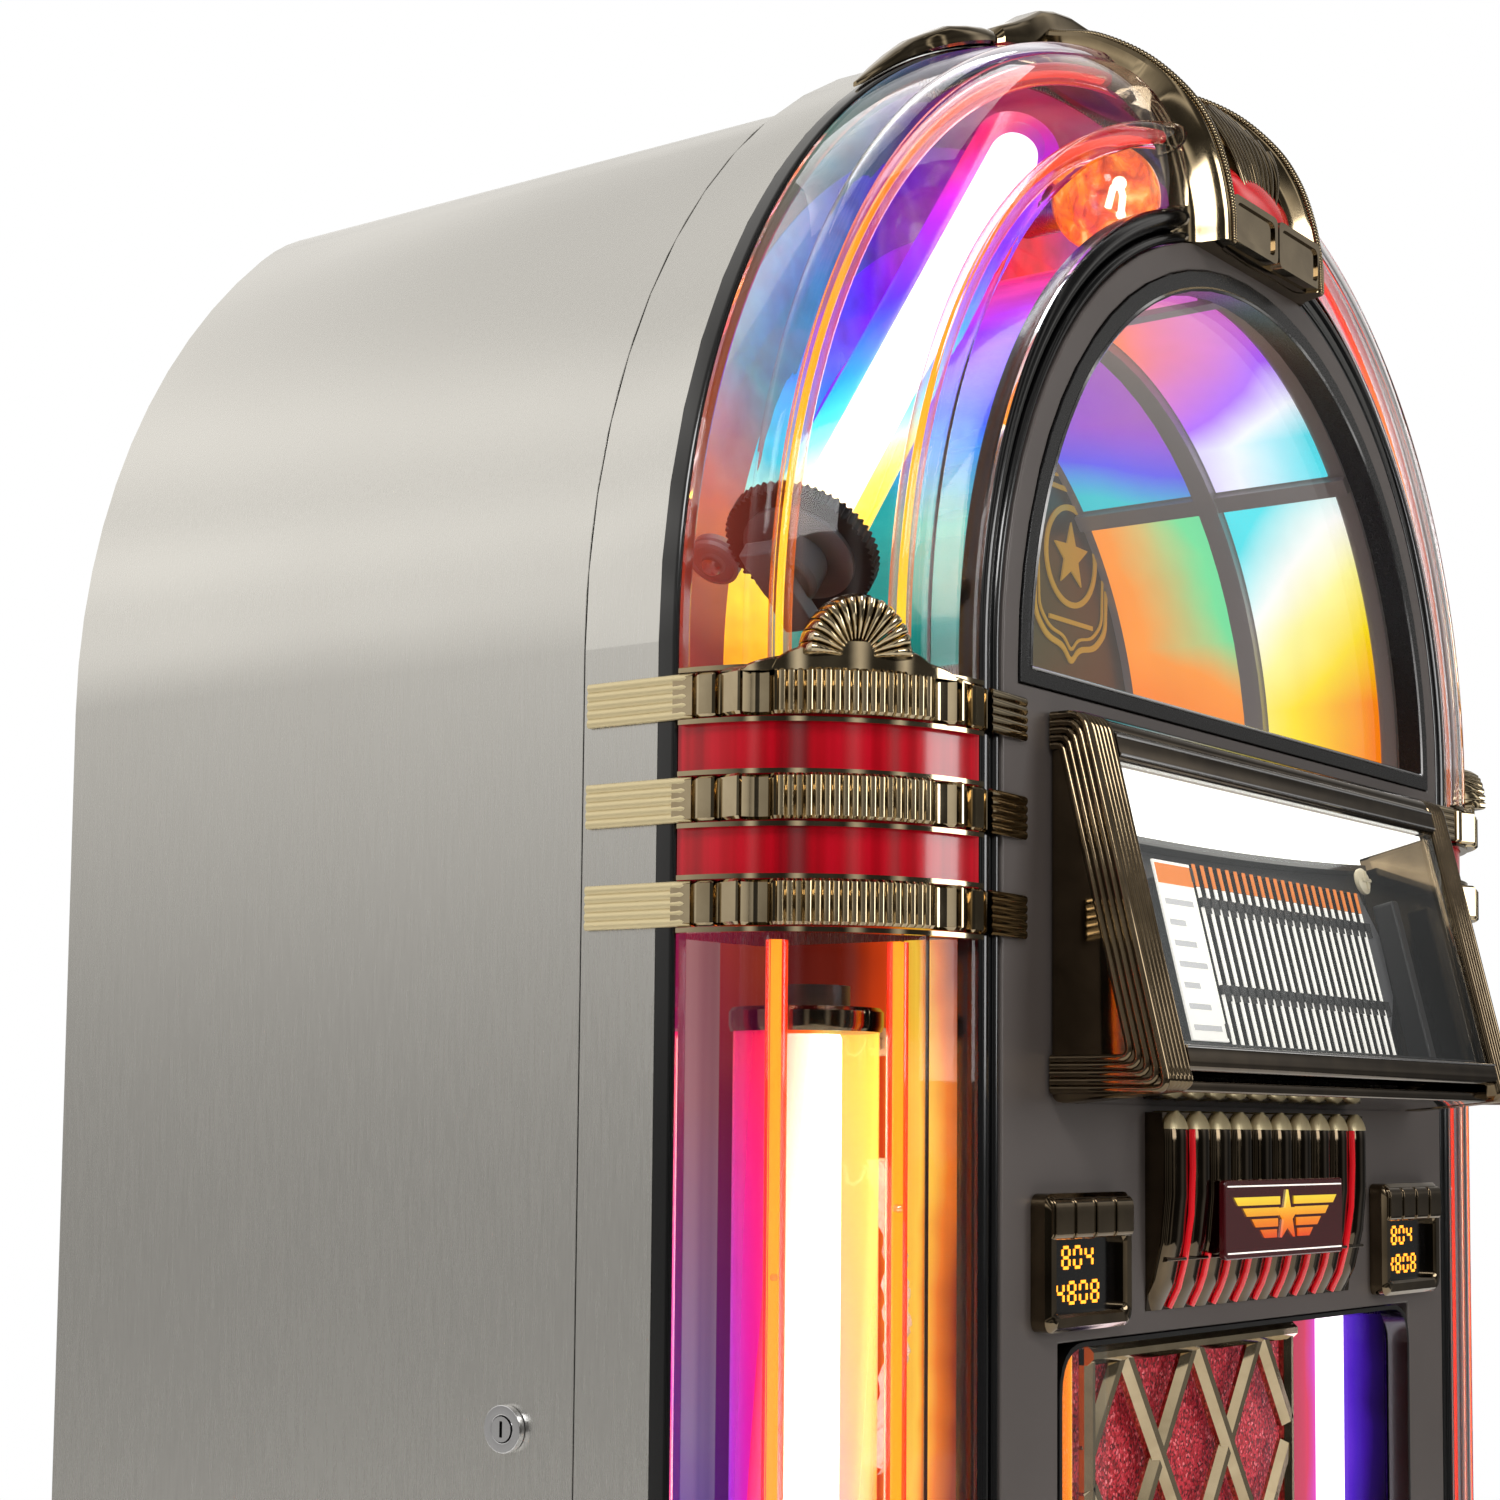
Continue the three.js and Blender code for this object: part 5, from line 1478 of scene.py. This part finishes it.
def add_title_page():
    """The page that turns: a printed sheet with blank rows, hung on two small hinges."""
    edge, depth, left = PAGE_AXIS_X, PAGE_AXIS_DEPTH, PAGE_AXIS_X - PAGE_WIDTH
    sheet = face_slab(left, edge, depth - 0.7, depth + 0.7, PAGE_LOW + 1, PAGE_HIGH - 1)
    piece("title_sheet", sheet, LIT_PAPER, "paper", ["title_page"], "page", bevel=0.3)
    rows = []
    for k in range(7):
        z, length = PAGE_HIGH - 24 - k * 11.5, PAGE_WIDTH - 10 - 7 * ((k * 5) % 3)
        rows.append(face_slab(left + 4, left + 4 + length, depth - 0.95, depth - 0.6, z - 1.6, z + 1.6))
    piece("title_sheet_rows", merged(*rows), INK, "dark_plastic", body="page")
    header = face_slab(left + 1, edge - 1, depth - 1.1, depth - 0.6, PAGE_HIGH - 14, PAGE_HIGH - 3)
    piece("title_sheet_header", header, ORANGE_PAPER, "paper", body="page")
    hinges = [face_slab(edge - 1.6, edge + 1.6, depth - 1.6, depth + 1.6, z, z + 8)
              for z in (PAGE_LOW + 3, PAGE_HIGH - 11)]
    piece("title_sheet_hinges", merged(*hinges), DARK, "dark_plastic", body="page", bevel=0.4)


# ---- Fluted grille, badge and credit displays ----
GRILLE_HALF, GRILLE_FLUTES = 132, 10
FLUTE_PITCH = 2 * GRILLE_HALF / GRILLE_FLUTES
GRILLE_LOW, GRILLE_HIGH = 738, 846
# The grille's front down its middle, in Y and Z, from its top to its curved foot.
GRILLE_PROFILE = ((-255, GRILLE_HIGH), (-256, 832), (-256, 800), (-253.5, 775), (-248, 752), (-240.3, 737))
BADGE_LOW, BADGE_HIGH = 764, 808


def grille_depth(z):
    """How far the grille stands out at a height."""
    for (y0, z0), (y1, z1) in zip(GRILLE_PROFILE, GRILLE_PROFILE[1:]):
        if z1 <= z <= z0:
            return y0 + (y1 - y0) * (z0 - z) / (z0 - z1)
    return FRONT_Y


def flute_rings(middle, count=44):
    """One upright flute with a rounded head, as rings from its top down."""
    rings = []
    for k in range(count + 1):
        z = GRILLE_HIGH - (GRILLE_HIGH - GRILLE_LOW) * k / count
        front = min(grille_depth(z), FRONT_Y - 1.2)
        top = max(0.0, 1 - (GRILLE_HIGH - z) / 9)
        half = (FLUTE_PITCH / 2 - 1.2) * math.sqrt(max(0.04, 1 - top * top))
        ring = []
        for a in (math.pi * j / 12 for j in range(13)):
            y = front + 5.0 - 5.0 * math.sin(a) ** 0.8 * (1 - 0.5 * top)
            ring.append((middle + half * math.cos(a), y, z))
        rings.append(ring + [(middle - half, FRONT_Y - 0.2, z), (middle + half, FRONT_Y - 0.2, z)])
    return rings


def red_insert(x, levels, radius):
    """A red line between two flutes, through places down the grille's front."""
    return tube([(x, grille_depth(z) + 0.6, z) for z in levels], radius, 10)


def add_grille():
    flutes = [flute_rings(FLUTE_PITCH * (i + 0.5) - GRILLE_HALF) for i in range(GRILLE_FLUTES)]
    front = grille_depth(766) - 0.7
    bar = rounded([(front, 765), (front, 766.6), (-246, 768), (-246, 764)], 0.5)
    backing = [(min(grille_depth(z) + 4.5, FRONT_Y - 0.4), z) for z in (845, 830, 800, 775, 760, 748, 738)]
    backing = [(FRONT_Y - 0.2, 845), *backing, (FRONT_Y - 0.2, 738)]
    casting = merged(*[lofted(rings[3:]) for rings in flutes],
                     prism(bar, "x", 3 - GRILLE_HALF, GRILLE_HALF - 3),
                     prism(backing, "x", -GRILLE_HALF, GRILLE_HALF))
    piece("grille_casting", casting, DEEP_SHADED_GOLD, "gold_chrome", ["fluted_grille"], smooth=40)
    caps = [lofted([[(x, y - 0.5, z) for x, y, z in ring] for ring in rings[:5]]) for rings in flutes]
    piece("grille_gilt_tops", merged(*caps), SATIN_GOLD, "strap_gold", smooth=40)
    inserts = [red_insert(FLUTE_PITCH * i - GRILLE_HALF, (739, 743, 748, 756, 768), 1.9)
               for i in range(2, GRILLE_FLUTES - 1)]
    outer = GRILLE_HALF - FLUTE_PITCH
    inserts += [red_insert(x, (739, 743, 750, 765, 790, 815, 836), 1.8) for x in (-outer, outer)]
    piece("grille_red_inserts", merged(*inserts), JEWEL, "crimson", smooth=50)


def badge_stripe(sign, k):
    """One stripe of a wing; each is shorter than the one above it."""
    z, inner, outer = 796 - k * 6.2, 10 + k * 1.5, 67 - k * 11
    corners = ((inner, z + 2.3), (outer, z + 2.3), (outer - 5, z - 2.3), (inner, z - 2.3))
    return prism([(sign * x, level) for x, level in corners], "y", -262, -260.6)


def add_badge():
    """A dark red plate with two white lines and a pair of plain striped wings about a star."""
    plate = prism(rounded(rectangle(-78, 78, BADGE_LOW, BADGE_HIGH), 3), "y", -261, -257)
    piece("badge_panel", plate, MAROON, "crimson", ["badge_plate"], bevel=0.8)
    lines = [slab(-75, 75, -261.5, -260.5, z - 0.4, z + 0.4) for z in (BADGE_LOW + 3.5, BADGE_HIGH - 3.5)]
    piece("badge_lines", merged(*lines), WHITE_LINE, "lamp_white")
    wings = [badge_stripe(sign, k) for sign in (-1, 1) for k in range(4)]
    star = [(r * math.sin(a), 787 + r * math.cos(a)) for r, a in
            ((6 if i % 2 else 15, math.pi * i / 5) for i in range(10))]
    piece("badge_wings", merged(*wings, prism(star, "y", -262.3, -260.6)), FLAME, "bubble_amber")


# Seven-segment digits: the heights of the level bars, and the side and foot of the upright ones.
LEVEL_BARS = {"a": 1, "g": 0, "d": -1}
UPRIGHT_BARS = {"f": (0, 0), "b": (1, 0), "e": (0, -1), "c": (1, -1)}
DIGITS = {0: "abcdef", 4: "fgbc", 8: "abcdefg"}
DIGIT_WIDTH, DIGIT_HALF, DIGIT_PITCH = 7.0, 5.2, 12


def digit(value, x, y, z):
    """One seven-segment digit standing on the XZ plane."""
    bars = []
    for name in DIGITS[value]:
        if name in LEVEL_BARS:
            at = z + LEVEL_BARS[name] * DIGIT_HALF
            bars.append(slab(x + 1.1, x + DIGIT_WIDTH - 1.1, y - 0.5, y, at - 0.8, at + 0.8))
        else:
            across, foot = UPRIGHT_BARS[name]
            at, low = x + across * DIGIT_WIDTH, z + foot * DIGIT_HALF
            bars.append(slab(at - 0.8, at + 0.8, y - 0.5, y, low + 1.0, low + DIGIT_HALF - 1.0))
    return merged(*bars)


def scaled_in(outline, depth):
    """An (x, z) outline drawn towards its middle by depth at its sides, top and bottom."""
    xs, zs = zip(*outline)
    cx, cz = (min(xs) + max(xs)) / 2, (min(zs) + max(zs)) / 2
    wide, tall = (max(xs) - min(xs)) / 2, (max(zs) - min(zs)) / 2
    return [(cx + (x - cx) * (1 - depth / wide), cz + (z - cz) * (1 - depth / tall)) for x, z in outline]


def credit_cap(left, pitch, front, top):
    """One rounded block of the row over a credit display, with a slightly deeper border."""
    rear, right = FRONT_Y - 0.5, left + pitch
    block = rounded([(front + 6, top - 24), (front - 2.2, top - 23), (front - 2.2, top - 4),
                     (front + 3, top - 0.8), (rear, top - 0.8), (rear, top - 24)], 3.4)
    border = [(y + 0.9, z) for y, z in block]
    return merged(prism(block, "x", left + 1.6, right - 1.6), prism(border, "x", left + 0.4, right - 0.4))


def add_credit_displays():
    """The two framed windows beside the grille, each with lit digits under a row of rounded caps."""
    for side, _ in SIDES:
        low, high = box(f"credit_display_{side}")
        x0, x1, z0, z1, front = low.x, high.x, low.z, high.z, low.y
        outer = rounded(rectangle(x0, x1, z0, z1), 7)
        inner = rounded(rectangle(x0 + 9, x1 - 9, z0 + 9, z1 - 23), 4)
        surface = surround((outer, FRONT_Y - 0.3), (outer, front + 2.6), (scaled_in(outer, 2.4), front),
                           (scaled_in(inner, -1.6), front), (inner, front + 1.6), (inner, FRONT_Y - 0.3))
        piece(f"credit_frame_{side}", surface, SHADED_GOLD, "gold_chrome", [f"credit_display_{side}"], smooth=40)
        window = prism(inner, "y", front + 6.5, FRONT_Y - 0.4)
        piece(f"credit_window_{side}", window, BLACK, "black_gloss")
        pitch = (x1 - x0 - 4) / 4
        caps = merged(*[credit_cap(x0 + 2 + pitch * k, pitch, front, z1) for k in range(4)])
        piece(f"credit_caps_{side}", caps, SHADED_GOLD, "gold_chrome", smooth=40, bevel=0.5)
        middle, level = (x0 + x1) / 2, (z0 + z1) / 2 - 7
        lit, rows = [], ((middle - 20, level + 9, (8, 0, 4)), (middle - 26, level - 9, (4, 8, 0, 8)))
        for start, z, values in rows:
            lit += [digit(v, start + DIGIT_PITCH * k, front + 6.6, z) for k, v in enumerate(values)]
        piece(f"credit_digits_{side}", merged(*lit), DIGIT_GLOW, "bubble_amber")


# ---- Speaker opening ----
LATTICE_STEP, LATTICE_RISE = 87, 127
SIDE_LOW, SIDE_HIGH = 208, 718


def lattice_bar(a, b, half, y_front, y_back):
    """A straight bar from a to b in X and Z, with a bevelled front."""
    a, b = Vector(a), Vector(b)
    side = Vector((-(b - a).y, (b - a).x)).normalized()
    section = ((half, y_back), (half, y_front + 4.0), (half * 0.34, y_front), (-half * 0.34, y_front),
               (-half, y_front + 4.0), (-half, y_back))
    return lofted([[((end + side * s).x, y, (end + side * s).y) for s, y in section] for end in (a, b)])


def lattice_line(k, slope, half, z0, z1):
    """The two ends of a leaning bar that starts k steps along, cut off at the grille's own sides."""
    foot, ends = k * LATTICE_STEP + slope * 2, []
    for z in (z0 + 2, z1 - 6):
        x = k * LATTICE_STEP + slope * (z - z0)
        edge = max(-half, min(half, x))
        ends.append((edge, z if edge == x else z0 + 2 + (edge - foot) / slope))
    return ends


def add_lattice():
    low, high = box("lattice_grille")
    half, z0, z1 = high.x, low.z, high.z
    y_front, y_back = low.y - 1.5, high.y
    bars = []
    for slant in (-1, 1):
        for k in range(-8, 9):
            a, b = lattice_line(k, slant * LATTICE_STEP / LATTICE_RISE, half - 5.0, z0, z1)
            if z0 - 1 <= min(a[1], b[1]) and max(a[1], b[1]) <= z1 + 1 and abs(b[1] - a[1]) > 12:
                bars.append(lattice_bar(a, b, 7.2, y_front + (1.2 if slant > 0 else 0), y_back))
    for x in (4 - half, half - 4):
        bars.append(lattice_bar((x, z0), (x, z1), 4.0, y_front, y_back))
    for z in (z0 + 4, z1 - 4):
        bars.append(lattice_bar((-half, z), (half, z), 5.4, y_front - 2, y_back))
    piece("lattice_bars", merged(*bars), GOLD, "gold_chrome", ["lattice_grille"], smooth=25)


def add_speaker():
    keep("speaker_baffle", BOARD, bevel=0.6)
    front = box("speaker_baffle")[0].y
    cloth = slab(-139.6, 139.6, front - 0.9, front - 0.2, SIDE_LOW, SIDE_HIGH)
    piece("speaker_cloth_sheet", cloth, CLOTH, "speaker_cloth")
    keep("woofer", DARK, bevel=0.6)
    opening = rectangle(-225.2, 225.2, 200.4, 725.6)
    outer = rounded(opening, 26, 6)
    inner = rounded([(x * 0.988, 463 + (z - 463) * 0.990) for x, z in opening], 24, 6)
    lining = surround((outer, FRONT_Y - 0.6), (outer, -226), (inner, -226), (inner, FRONT_Y - 0.6))
    piece("opening_lining", lining, BLACK, "black_gloss", smooth=40)


def add_side_lights():
    """A lit wall with a glowing rod behind a clear cover, down each side of the speaker cloth."""
    rods = {"left": (-204, -229, 6), "right": (184, -204, 9)}
    for side, sign in SIDES:
        wall = [(sign * x, y) for x, y in ((219, FRONT_Y + 14), (221, FRONT_Y + 14), (221, -192.5),
                                           (140, -191.5), (140, -193), (212, -195))]
        piece(f"side_light_{side}", prism(wall, "z", SIDE_LOW, SIDE_HIGH), SIDE_GLOW[side], "rainbow")
        x, y, radius = rods[side]
        rod = tube([(x, y, SIDE_LOW - 2), (x, y, SIDE_HIGH + 1)], radius, 20)
        piece(f"side_light_tubes_{side}", rod, SIDE_TUBE[side], "rainbow", smooth=60)
        guard = slab(*sorted((sign * 136, sign * 218)), -220, -218, SIDE_LOW - 2, SIDE_HIGH + 1)
        piece(f"side_light_cover_{side}", guard, SIDE_CLEAR, "clear_cover", bevel=0.6)


# ---- The finishes ----
SKIN, BOARD = brushed_skin(), plastic("painted_board", (52, 44, 40), 0.6, 700)
BLACK = gloss_black()
CHARCOAL = charcoal_paint()
DARK = plastic("dark_plastic", (34, 33, 34), 0.45)
GREY = plastic("grey_plastic", (96, 96, 98), 0.4)
LIGHT_GREY = plastic("light_grey_plastic", (150, 148, 152), 0.35)
CREAM = plastic("cream_plastic", (226, 214, 182), 0.35)
RUBBER = plastic("black_rubber", (24, 24, 25), 0.6)
GASKET = plastic("gasket_rubber", (17, 17, 18), 0.28)
STEEL = steel("steel", (176, 176, 178), 0.25)
BRIGHT_STEEL = steel("bright_steel", (214, 214, 216), 0.1)
GOLD = warm_mirror("gold_mirror", (206, 190, 158), (150, 132, 102))
# The next three are darker copies of the same warm plating: their darker colour is painted shade, for the
# darker surroundings that they reflect.
SHADED_CROWN_GOLD = warm_mirror("shaded_crown_gold", (160, 144, 116), (104, 90, 68))
SHADED_GOLD = warm_mirror("shaded_gold_mirror", (138, 122, 98), (78, 66, 50))
DEEP_SHADED_GOLD = warm_mirror("deep_shaded_gold", (112, 98, 78), (60, 50, 40))
OLD_GOLD = plastic("old_gold", (170, 132, 40), 0.35, glow=0.6)
SATIN_GOLD = satin_gold()
ACRYLIC, CRIMSON, CLOTH, LAMP = clear_acrylic(), crimson_cover(), speaker_cloth(), lamp_tube()
JEWEL = plastic("red_jewel", (198, 14, 26), 0.08, glow=0.5, Coat_Weight=1.0)
MAROON = plastic("maroon_enamel", (62, 8, 14), 0.12, glow=0.2, Coat_Weight=0.5)
WHITE_LINE = plastic("white_line", (244, 240, 232), 0.3, glow=0.8)
LIT_PAPER = plastic("lit_paper", (246, 244, 236), 0.6, glow=0.62)
ORANGE_PAPER = plastic("orange_paper", (236, 132, 48), 0.6, glow=0.5)
HEADER = plastic("header_light", (255, 253, 246), 0.4, glow=1.5)
INK = plastic("grey_print", (196, 196, 196), 0.6, glow=0.5)
OLIVE = plastic("olive_wall", (62, 48, 28), 0.35, glow=0.3)
DOME_METAL = plastic("dome_metal", (150, 142, 138), 0.3, glow=0.12, Metallic=0.3)
HOT = plastic("hot_filament", (255, 246, 214), 0.3, glow=4.0)
DIGIT_GLOW = plastic("digit_glow", (255, 150, 40), 0.3, glow=2.2)
BUBBLE, SIDE_CLEAR = clear_glass("bubble_skin", 0.35), clear_glass("side_clear", 0.02)
WINDOW_GLASS, DISPLAY_GLASS = clear_glass("window_glass", 0.05), clear_glass("display_glass", 0.04)
CREASED = plastic_film()
FILM, ARCH_FILM = sleeve_film(), arch_film()
GLOBE = sparkling_globe()
TUBE_CORE = plastic("tube_core", (255, 190, 40), 0.3, glow=1.5)
TUBE_GLASS = amber_glass("amber_tube_glass", (240, 50, 8), 0.5, 0.7)
ARCH_CORE = striped_glow("arch_core", ((0.0, 255, 200, 30), (0.35, 255, 150, 16), (0.65, 250, 70, 24),
                                       (1.0, 240, 40, 50)), 1.5, "arch", contrast=0.1)
ARCH_TUBE_GLASS = amber_glass("arch_tube_glass", (244, 84, 30), 0.12, 0.8, (
    (0.0, 250, 120, 6), (0.35, 246, 90, 6), (0.6, 226, 30, 20), (1.0, 226, 20, 40)))

# The lit walls of the channel behind the covers. Over the arch the stops run from its foot to its crown.
ARCH_STOPS = {
    "outer": ((0.0, 120, 40, 12), (0.28, 120, 50, 24), (0.42, 8, 80, 80), (0.68, 40, 16, 80),
              (1.0, 150, 10, 40)),
    "back_outer": ((0.0, 96, 26, 12), (0.26, 150, 52, 20), (0.4, 16, 96, 90), (0.58, 10, 84, 110),
                   (0.74, 52, 18, 110), (0.88, 110, 14, 90), (1.0, 206, 16, 40)),
    "back_inner": ((0.0, 90, 26, 20), (0.2, 170, 84, 20), (0.33, 20, 130, 120), (0.5, 14, 120, 170),
                   (0.66, 60, 24, 170), (0.82, 120, 20, 150), (1.0, 220, 20, 40)),
    "inner_back": ((0.0, 255, 160, 10), (0.14, 255, 214, 40), (0.27, 20, 200, 210), (0.45, 20, 110, 230),
                   (0.64, 90, 24, 230), (0.82, 170, 16, 120), (1.0, 226, 24, 40)),
    "inner": ((0.0, 8, 110, 100), (0.16, 10, 150, 150), (0.3, 40, 60, 220), (0.46, 130, 40, 240),
              (0.62, 226, 70, 170), (0.8, 226, 24, 70), (1.0, 250, 90, 20)),
}
ARCH_GLOW = {name: striped_glow(f"arch_glow_{name}", stops, 1.5, "arch", streaks=(60, (1, 0.12, 1)))
             for name, stops in ARCH_STOPS.items()}


def upright_glow(name, strength, *stops, **options):
    """A lit pilaster wall: its stops run up from the door's foot to the red section."""
    ends = DOOR_BOTTOM_Z, RED_BOTTOM_Z
    return striped_glow(f"pilaster_glow_{name}", stops, strength, "Z", *ends, **options)


# The back strips of the pilaster channel glow with upright greyish streaks: painted light, standing in for
# the light refracted in the clear cover in front of them.
PAINTED_REFRACTION_STREAKS = upright_glow("clear", 0.8, (0.0, 110, 40, 190), (0.45, 120, 60, 120), (0.7, 150, 140, 132),
                             (1.0, 150, 134, 122), streaks=(46, (1, 1, 0.008)), contrast=0.6)
PILASTER_GLOW = {
    "outer": upright_glow("outer", 0.95, (0.0, 40, 120, 220), (0.3, 70, 40, 230), (0.55, 120, 20, 180),
                          (0.8, 200, 14, 70), (1.0, 220, 14, 40)),
    "back_outer": PAINTED_REFRACTION_STREAKS,
    "back_inner": PAINTED_REFRACTION_STREAKS,
    "inner_back": upright_glow("inner_back", 0.95, (0.0, 110, 14, 60), (0.5, 70, 6, 24), (0.85, 74, 20, 10),
                               (1.0, 130, 50, 14)),
    "inner": striped_glow("pilaster_glow_inner", (
        (0.0, 40, 10, 6), (0.08, 130, 40, 12), (0.16, 234, 120, 20), (0.23, 255, 206, 70),
        (0.31, 252, 176, 40), (0.42, 206, 64, 16), (0.6, 110, 28, 12), (1.0, 74, 14, 14)),
        1.0, "Y", -226, -90, contrast=0.2, streaks=(90, (1, 1, 0.01)), gloss=0.2),
}


def dome_glow(bay, level, *stops):
    """A dome panel's light, whose colours lean one way in the front bay and the other in the rear one."""
    low, high = ((10, 175), (195, 262))[level]
    lean, share = {"front": ((0.9, 0.7)[level], -0.25), "rear": ((-0.7, -0.5)[level], 0.45)}[bay]
    shift = ARCH_Z - share * (high - low)
    return striped_glow(f"dome_glow_{bay}_{level}", stops, 1.2, "Z", low + shift, high + shift,
                        contrast=0.08, gloss=0.1, lean=lean)


DOME_GLOW = {
    "front": (dome_glow("front", 0, (0.0, 255, 130, 10), (0.28, 255, 226, 20), (0.5, 255, 248, 150),
                        (0.72, 255, 255, 250), (1.0, 70, 226, 236)),
              dome_glow("front", 1, (0.0, 90, 226, 240), (0.25, 240, 246, 255), (0.5, 170, 90, 250),
                        (0.75, 216, 110, 190), (1.0, 250, 120, 20))),
    "rear": (dome_glow("rear", 0, (0.0, 244, 110, 10), (0.35, 250, 150, 50), (0.6, 110, 220, 150),
                       (1.0, 60, 200, 170)),
             dome_glow("rear", 1, (0.0, 50, 190, 200), (0.3, 90, 80, 230), (0.6, 150, 70, 200),
                       (1.0, 170, 90, 130))),
}
SIDE_GLOW = {
    "left": striped_glow("side_glow_left", ((0.0, 255, 190, 60), (1.0, 230, 90, 20)), 0.9, "X", -221, -150),
    "right": striped_glow("side_glow_right", (
        (0.0, 170, 10, 50), (0.3, 220, 20, 80), (0.5, 200, 60, 220), (0.68, 130, 60, 255),
        (0.78, 80, 24, 210), (0.9, 30, 8, 90), (1.0, 10, 4, 30)),
        1.0, "round the corner", 332, 447, gloss=0.05),
}
SIDE_TUBE = {
    "left": amber_glass("amber_rod", (255, 150, 40), 0.3, 0.9),
    "right": plastic("white_rod", (255, 244, 255), 0.2, glow=2.4, Coat_Weight=1.0),
}
FLAME = striped_glow("badge_flame", ((0.0, 255, 220, 60), (0.5, 250, 140, 30), (1.0, 230, 30, 30)), 1.0,
                     "Z", 798, 772, contrast=0.1)


# ---- The whole model ----
add_stage()
add_cabinet()
add_door_frame()
add_covers()
add_glow_walls()
add_lamps()
add_bubble_tubes()
add_channel_details()
add_arch_lamps()
add_globe()
add_bands()
add_crown()
add_window()
add_dome()
add_display()
add_title_rack()
add_title_leaves()
add_title_ends()
add_title_page()
add_grille()
add_badge()
add_credit_displays()
add_lattice()
add_speaker()
add_side_lights()
